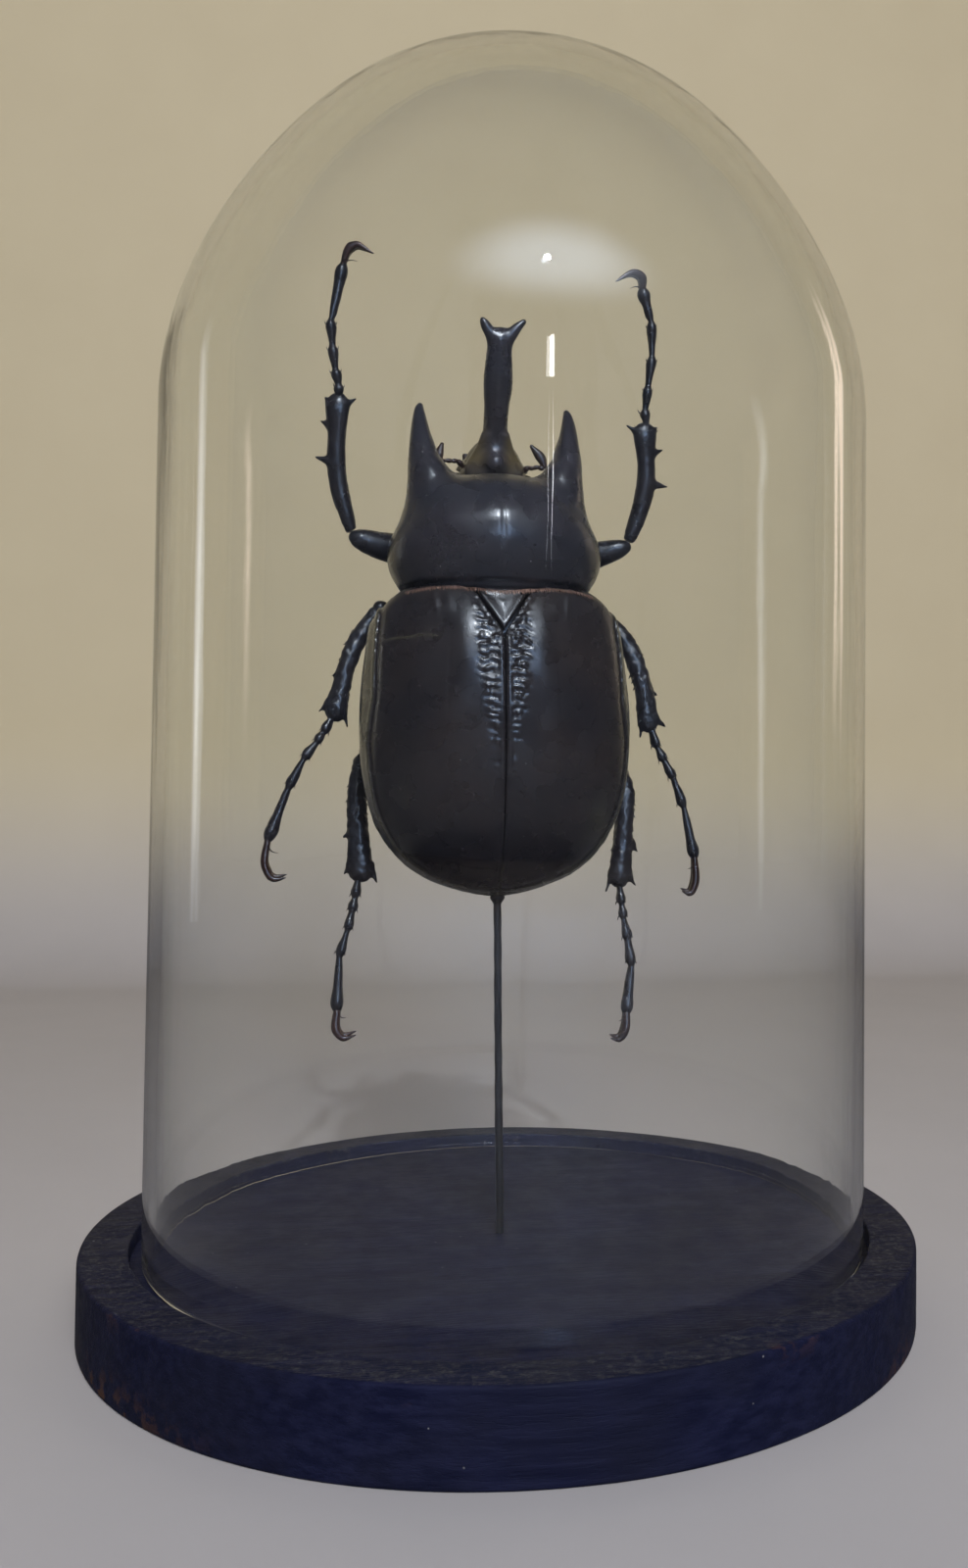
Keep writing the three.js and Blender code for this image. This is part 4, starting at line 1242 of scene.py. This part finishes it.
# ---- legs ----
# Stations are [u, v, w, half width, half depth]; teeth are [root, tip, root radius];
# the tarsus is the ends of its five joints; the claws are the bends of the hook.
LEGS = {
    "front_left": {
        "coxa": [[-5.4, 13.6, 139.4, 2.4, 2.6], [-9.6, 13.8, 140.4, 3.6, 3.4], [-13, 13.4, 141, 2.4, 2.4]],
        "femur": [[-13.9, 13, 141.2, 2.2, 2.2], [-18.4, 10.8, 141.8, 3.2, 2.8],
                  [-23.4, 8.6, 142.4, 2.9, 2.5], [-27.2, 7.4, 143.2, 2.2, 2], [-28.7, 7, 143.6, 1.4, 1.3]],
        "tibia": [[-29.7, 6.9, 145.6, 1.3, 1.2], [-30.6, 6.6, 148.4, 1.7, 1.5], [-32.1, 6, 154, 2, 1.6],
                  [-32.6, 5, 160, 2, 1.6], [-32.4, 4.2, 165, 2, 1.5], [-32.2, 3.4, 169.4, 2.5, 1.5],
                  [-32, 3.2, 170.9, 1.7, 1.1]],
        "teeth": [[[-33.4, 5, 158.6], [-36.6, 4.6, 159.4], 1.2],
                  [[-33.2, 4.2, 165.6], [-35.8, 3.9, 166.7], 1.1],
                  [[-33, 3.4, 169.2], [-34.8, 3.2, 171.4], 1.1], [[-31, 3.4, 169.8], [-28.4, 3, 171.4], 1]],
        "tarsus": [[-32.1, 2.8, 171.6], [-32, 2.4, 173.4], [-32.6, 1.8, 176.4], [-33.2, 1.1, 181.2],
                   [-33.5, 0.5, 186.2], [-31.1, -0.1, 198.2]],
        "claws": [[-30.3, -0.9, 201.6], [-28.2, -1.3, 202.9], [-25, -2, 200.9]],
    },
    "front_right": {
        "coxa": [[5.4, 13.6, 139.4, 2.4, 2.6], [9.6, 13.8, 140, 3.6, 3.4], [13, 13.4, 140.6, 2.4, 2.4]],
        "femur": [[13.9, 13, 140.8, 2.2, 2.2], [18.4, 10.8, 141.2, 3.2, 2.8], [23, 8.6, 141.9, 2.8, 2.5],
                  [27, 7.4, 142.9, 2.1, 2], [28.7, 7, 143.4, 1.4, 1.3]],
        "tibia": [[29.7, 6.9, 145.4, 1.3, 1.2], [30.9, 6.6, 148.4, 1.7, 1.5], [32.2, 6, 152.6, 1.9, 1.6],
                  [32.9, 5, 157.8, 1.9, 1.6], [32.8, 4.3, 162, 1.9, 1.5], [32.4, 3.4, 166.6, 2.4, 1.5],
                  [32.4, 3.2, 168, 1.6, 1.1]],
        "teeth": [[[33.8, 5, 156.8], [37.3, 4.6, 156.2], 1.2], [[33.8, 4.2, 163], [36.1, 3.9, 163.9], 1.1],
                  [[33.4, 3.4, 166.6], [34.9, 3.2, 168.6], 1.1], [[31.4, 3.4, 167], [28.4, 3, 168.6], 1]],
        "tarsus": [[32.6, 2.8, 168.8], [32.2, 2.4, 171.6], [32.8, 1.8, 176.6], [33.6, 1.1, 183],
                   [33.4, 0.5, 190.3], [31.5, -0.1, 197.2]],
        "claws": [[31.1, -0.9, 199.7], [28.8, -1.3, 200.2], [25.6, -2, 198]],
    },
    "middle_left": {
        "coxa": [[-4.6, 16, 117.6, 2.6, 2.6], [-9.4, 16.6, 119, 3.6, 3], [-12.6, 16.8, 120.6, 2.2, 2.2]],
        "femur": [[-13.2, 17, 121.6, 2, 2], [-16.6, 17.4, 124.4, 3, 2.6], [-20.4, 17, 127.8, 2.8, 2.4],
                  [-23.2, 16.1, 130.2, 1.9, 1.8]],
        "tibia": [[-24.6, 15, 129.2, 1.4, 1.4], [-27.4, 14, 124.8, 1.8, 1.5], [-30.2, 13.2, 118.8, 2, 1.6],
                  [-31.8, 12.6, 112.6, 2, 1.5], [-32.8, 12.1, 108.4, 2.3, 1.5],
                  [-33.1, 12, 107.3, 1.6, 1.1]],
        "teeth": [[[-31, 13, 116.4], [-33.2, 12.8, 115.4], 1],
                  [[-33.8, 12.3, 109.6], [-36.4, 12, 107.8], 1.1],
                  [[-31.4, 12.2, 108.6], [-30.4, 12, 104.6], 0.8]],
        "tarsus": [[-33.7, 12, 106.4], [-35.2, 11.7, 103.6], [-36.6, 11.3, 101.6], [-39.3, 10.8, 98],
                   [-42.5, 10.2, 91.8], [-46.4, 9.2, 81.2]],
        "claws": [[-47, 8.7, 76.4], [-45.4, 8.4, 73.4], [-42.7, 8, 73.6]],
    },
    "middle_right": {
        "coxa": [[4.6, 16, 117.6, 2.6, 2.6], [9.4, 16.6, 119, 3.6, 3], [12.6, 16.8, 120.6, 2.2, 2.2]],
        "femur": [[13.2, 17, 121.6, 2, 2], [17, 17.4, 124.2, 3, 2.6], [21.6, 17, 127, 2.8, 2.4],
                  [26, 16.1, 129.2, 1.9, 1.8]],
        "tibia": [[28, 15, 127.6, 1.4, 1.4], [30, 14, 124.4, 1.8, 1.5], [32.4, 13.2, 118.6, 2, 1.6],
                  [33.8, 12.6, 112.6, 2, 1.5], [34.5, 12.1, 106.8, 2.3, 1.5], [34.7, 12, 105.4, 1.6, 1.1]],
        "teeth": [[[34, 13, 113.6], [36.6, 12.8, 112], 1], [[35.6, 12.3, 107.2], [38.4, 12, 105], 1.1],
                  [[33.2, 12.2, 107], [32.6, 12, 102.6], 0.8]],
        "tarsus": [[35.2, 12, 104.6], [36.4, 11.7, 100.6], [37.8, 11.3, 97.8], [39.8, 10.8, 93.8],
                   [42, 10.2, 87.4], [44.2, 9, 76.4]],
        "claws": [[44.2, 8.6, 71.4], [43, 8.4, 68.8], [40.9, 8, 69.3]],
    },
    "hind_left": {
        "coxa": [[-3.4, 15.4, 105.8, 2.4, 2.6], [-9.4, 16.2, 105.8, 3.6, 3], [-13, 16.6, 105, 2.2, 2.2]],
        "femur": [[-14, 16.8, 104.6, 2, 2], [-18, 17.6, 103, 3.3, 2.6], [-22.6, 17.4, 101.2, 3, 2.4],
                  [-26, 16.7, 99.5, 2, 1.9]],
        "tibia": [[-27.6, 15.6, 97.6, 1.5, 1.4], [-28.4, 14.9, 92.6, 1.9, 1.6],
                  [-28.5, 14.4, 87.4, 2.1, 1.7], [-28.2, 13.9, 81.6, 2.2, 1.6],
                  [-27.7, 13.2, 75, 2.7, 1.6], [-27.6, 13.1, 73.9, 1.8, 1.2]],
        "teeth": [[[-29.6, 14.2, 82.6], [-31.4, 14, 81.4], 1],
                  [[-29.4, 13.3, 76], [-31.2, 13.1, 73.6], 1.1],
                  [[-25.8, 13.3, 75.4], [-24.2, 13, 71.6], 1]],
        "tarsus": [[-28.2, 13, 72.8], [-28.8, 12.6, 69], [-29.4, 12.2, 66.2], [-30.4, 11.7, 62.2],
                   [-32.2, 11, 56.8], [-32.7, 9.9, 45.8]],
        "claws": [[-32.9, 9.5, 42], [-31.4, 9.4, 40.2], [-28.8, 9, 40.9]],
    },
    "hind_right": {
        "coxa": [[3.4, 15.4, 105.8, 2.4, 2.6], [9.4, 16.2, 105.8, 3.6, 3], [13, 16.6, 105, 2.2, 2.2]],
        "femur": [[14, 16.8, 104.6, 2, 2], [18.4, 17.6, 102.4, 3.3, 2.6], [23.4, 17.4, 99.8, 3, 2.4],
                  [27.6, 16.7, 97.1, 2, 1.9]],
        "tibia": [[29.4, 15.6, 95, 1.5, 1.4], [30, 14.9, 91, 1.9, 1.6], [29.7, 14.4, 86, 2, 1.7],
                  [29.2, 13.9, 80, 2, 1.6], [28.4, 13.2, 73, 2.3, 1.6], [28.2, 13.1, 71.4, 1.6, 1.2]],
        "teeth": [[[31, 14.2, 79.4], [32.4, 14, 77.6], 1], [[29.8, 13.3, 73], [31.8, 13.1, 70.2], 1.1],
                  [[26.8, 13.3, 73], [25.2, 13, 69.2], 1]],
        "tarsus": [[28.2, 13, 70.3], [28.6, 12.6, 66.6], [28.9, 12.2, 63.6], [29.7, 11.8, 58.8],
                   [30.4, 11.2, 53.3], [29, 10, 43.2]],
        "claws": [[28.6, 9.6, 40], [27.3, 9.5, 37.8], [25.2, 9, 38.2]],
    },
}


def box_of(stations, room):
    """The low and high corner of a box round the stations, with some room."""
    points = np.array([s[:3] for s in stations], float)
    return points.min(0) - room, points.max(0) + room


def tooth(p, root, tip, radius):
    """A thorn, thick at its root."""
    root, tip = np.array(root, float), np.array(tip, float)
    middle = root * 0.45 + tip * 0.55
    return limb(p, [[*root, radius], [*middle, radius * 0.5], [*tip, radius * 0.14]], 4)


def square_to(direction, along):
    """The part of the direction that is square to `along`, with length 1."""
    direction = direction - along * (direction @ along)
    return direction / length(direction)


def spines_along(dice, stations, long, count):
    """Small spines rooted in a limb's surface, pointing outwards and towards its end."""
    rows = spline(full_rows(stations), 8)
    parts = []
    for i in range(count):
        at = int((i + dice.uniform(0.2, 0.8)) / count * (len(rows) - 2))
        centre, (wide, deep) = rows[at][:3], rows[at][3:]
        along = rows[at + 1][:3] - centre
        along /= length(along)
        side = square_to(np.array([dice.choice((LEFT, RIGHT)), dice.uniform(-0.5, 0.5), 0.0]), along)
        reach = 1 / math.hypot(side[0] / wide, side[2] / wide, side[1] / deep)
        root = centre + side * reach * 0.86
        tip = root + (side * 0.7 + along * 0.8) * long * dice.uniform(0.7, 1.2)
        parts.append(spike([root, (root + tip) / 2, tip], [0.26, 0.17, 0.03], 6))
    return parts


# Joints of a foot: [share of the joint's length, half width].
JOINT = [[0.0, 0.62], [0.35, 0.78], [0.76, 1.1], [0.93, 0.85]]
LAST_JOINT = [[0.02, 0.6], [0.3, 0.9], [0.62, 1.05], [0.86, 1.35], [0.98, 0.95]]


def tarsus_joints(knots):
    """Five joints, each a small cone widening to its end, the last long with a swollen end."""
    joints = []
    for a, b in zip(knots, knots[1:]):
        table = LAST_JOINT if b is knots[-1] else JOINT
        joints.append([[*(a + (b - a) * share), wide] for share, wide in table])
    return joints


def tarsus_spines(dice, knots):
    """A pair of thin spines under the end of each joint."""
    parts = []
    for a, b in zip(knots[:-2], knots[1:-1]):
        along = (b - a) / length(b - a)
        for side in (LEFT, RIGHT):
            out = square_to(np.array([side * 1.0, 0.5, 0.0]), along)
            root = a + (b - a) * 0.8 + out * 0.75
            tip = root + (out * 0.55 + along) * dice.uniform(0.9, 1.3)
            parts.append(spike([root, (root + tip) / 2 + out * 0.1, tip], [0.17, 0.12, 0.03], 6))
    return parts


CLAW_RADII = [0.731, 0.86, 0.6708, 0.1376]  # from the root to the tip


def claw(knots, depth):
    """The stations of one hooked claw, `depth` to the side of the pair's middle."""
    stations = []
    for i, (knot, radius) in enumerate(zip(knots, CLAW_RADII)):
        aside = np.array([0.0, depth * min(1.0, 0.35 + 0.4 * i), 0.12 * depth * i])
        stations.append([*(knot + aside), radius])
    return stations


def claw_parts(start, bends):
    """A pair of hooked claws side by side, and the thin bristle between them."""
    start, *bends = np.array([start] + bends, float)
    foot = bends[0] - start
    knots = [start + foot * 0.12] + bends
    pair = [claw(knots, -0.75), claw(knots, 0.85)]
    low, high = box_of(knots, 2.4)
    grown = surface(lambda p: limbs(p, pair, 0.3, 6), low, high, 0.17)
    root = start + foot * 0.2
    tip = root + (bends[2] - bends[0]) * 0.5 + foot * 0.1
    return [grown, spike([root, (root + tip) / 2 + foot * 0.12, tip], [0.2, 0.13, 0.04], 6)]


def leg_shapes(leg, rough):
    """The first three pieces of a leg; each leaves a gap to the one before it."""
    def coxa(p):
        return limb(p, leg["coxa"]) + 0.08 * noise(p, 1.4)

    def femur(p):
        body = limb(p, leg["femur"]) + 0.05 * noise(p, 1.8) + 0.03 * noise(p, 0.8, 5.0)
        return smooth_max(body, 0.25 - limb(p, leg["coxa"]), 0.4)

    def tibia(p):
        body = limb(p, leg["tibia"])
        for thorn in leg["teeth"]:
            body = smooth_min(body, tooth(p, *thorn), 0.7)
        body = body + rough * noise(p, 1.15) + 0.4 * rough * noise(p, 0.6, 3.0)
        return smooth_max(body, 0.25 - limb(p, leg["femur"]), 0.4)

    return coxa, femur, tibia


def make_leg(place, leg, shell, claw_shell):
    """Five pieces: coxa, femur, thorny tibia, jointed tarsus and claws."""
    def piece(part, parts, material=shell):
        beetle_piece(f"{place}_{part}", material, parts)

    dice = np.random.default_rng(sum(map(ord, place)))
    front = place.startswith("front")
    coxa, femur, tibia = leg_shapes(leg, 0.05 if front else 0.17)
    piece("coxa", [surface(coxa, *box_of(leg["coxa"], 4.0), 0.36)])
    piece("femur", [surface(femur, *box_of(leg["femur"], 4.0), 0.3)])

    tips = [tip for _, tip, _ in leg["teeth"]]
    spines = [] if front else spines_along(dice, leg["tibia"][1:-1], 1.0, 12)
    spines += spines_along(dice, leg["tibia"][-2:], 1.3, 4)
    piece("tibia", [surface(tibia, *box_of(leg["tibia"] + tips, 2.6), 0.24)] + spines)

    knots = [np.array(knot, float) for knot in leg["tarsus"]]
    joints = tarsus_joints(knots)
    tarsus = surface(
        lambda p: limbs(p, joints, 0.22, 4) + 0.025 * noise(p, 0.7), *box_of(knots, 2.0), 0.21)
    piece("tarsus", [tarsus] + tarsus_spines(dice, knots))
    piece("claws", claw_parts(leg["tarsus"][-1], leg["claws"]), claw_shell)


# ---- everything ----
def make_stage():
    """A pale floor that curves up into a wall behind the object."""
    wall, bend, side = STAGE["wall"], STAGE["bend"], STAGE["side"]
    turn = np.linspace(0, np.pi / 2, 24)
    y = np.concatenate([[STAGE["front"], 0.3], wall - bend + bend * np.sin(turn), [wall]])
    z = np.concatenate([[0.0, 0.0], bend * (1 - np.cos(turn)), [STAGE["top"]]])
    points = np.array([(x, *row) for row in zip(y, z) for x in (-side, side)]) / MM
    faces = [[2 * i, 2 * i + 1, 2 * i + 3, 2 * i + 2] for i in range(len(y) - 1)]
    world_mesh("stage", points, faces, pale_floor(), step_up(points[:, 2], 0, bend / MM))


def make_beetle():
    """All pieces of the beetle, in their materials."""
    shells = {name: horn_shell(name, *look) for name, look in SHELLS.items()}
    make_pronotum(shells["shell_black"], shells["hair"])
    make_head(shells)
    make_scutellum(shells["shell_wing"])
    make_elytra(shells["shell_wing"])
    make_underside(shells["shell_under"])
    for place, leg in LEGS.items():
        make_leg(place, leg, shells["shell_leg"], shells["shell_claw"])


make_camera()
make_world()
make_stage()
make_base()
make_dome()
make_lights()
make_rod()
make_beetle()
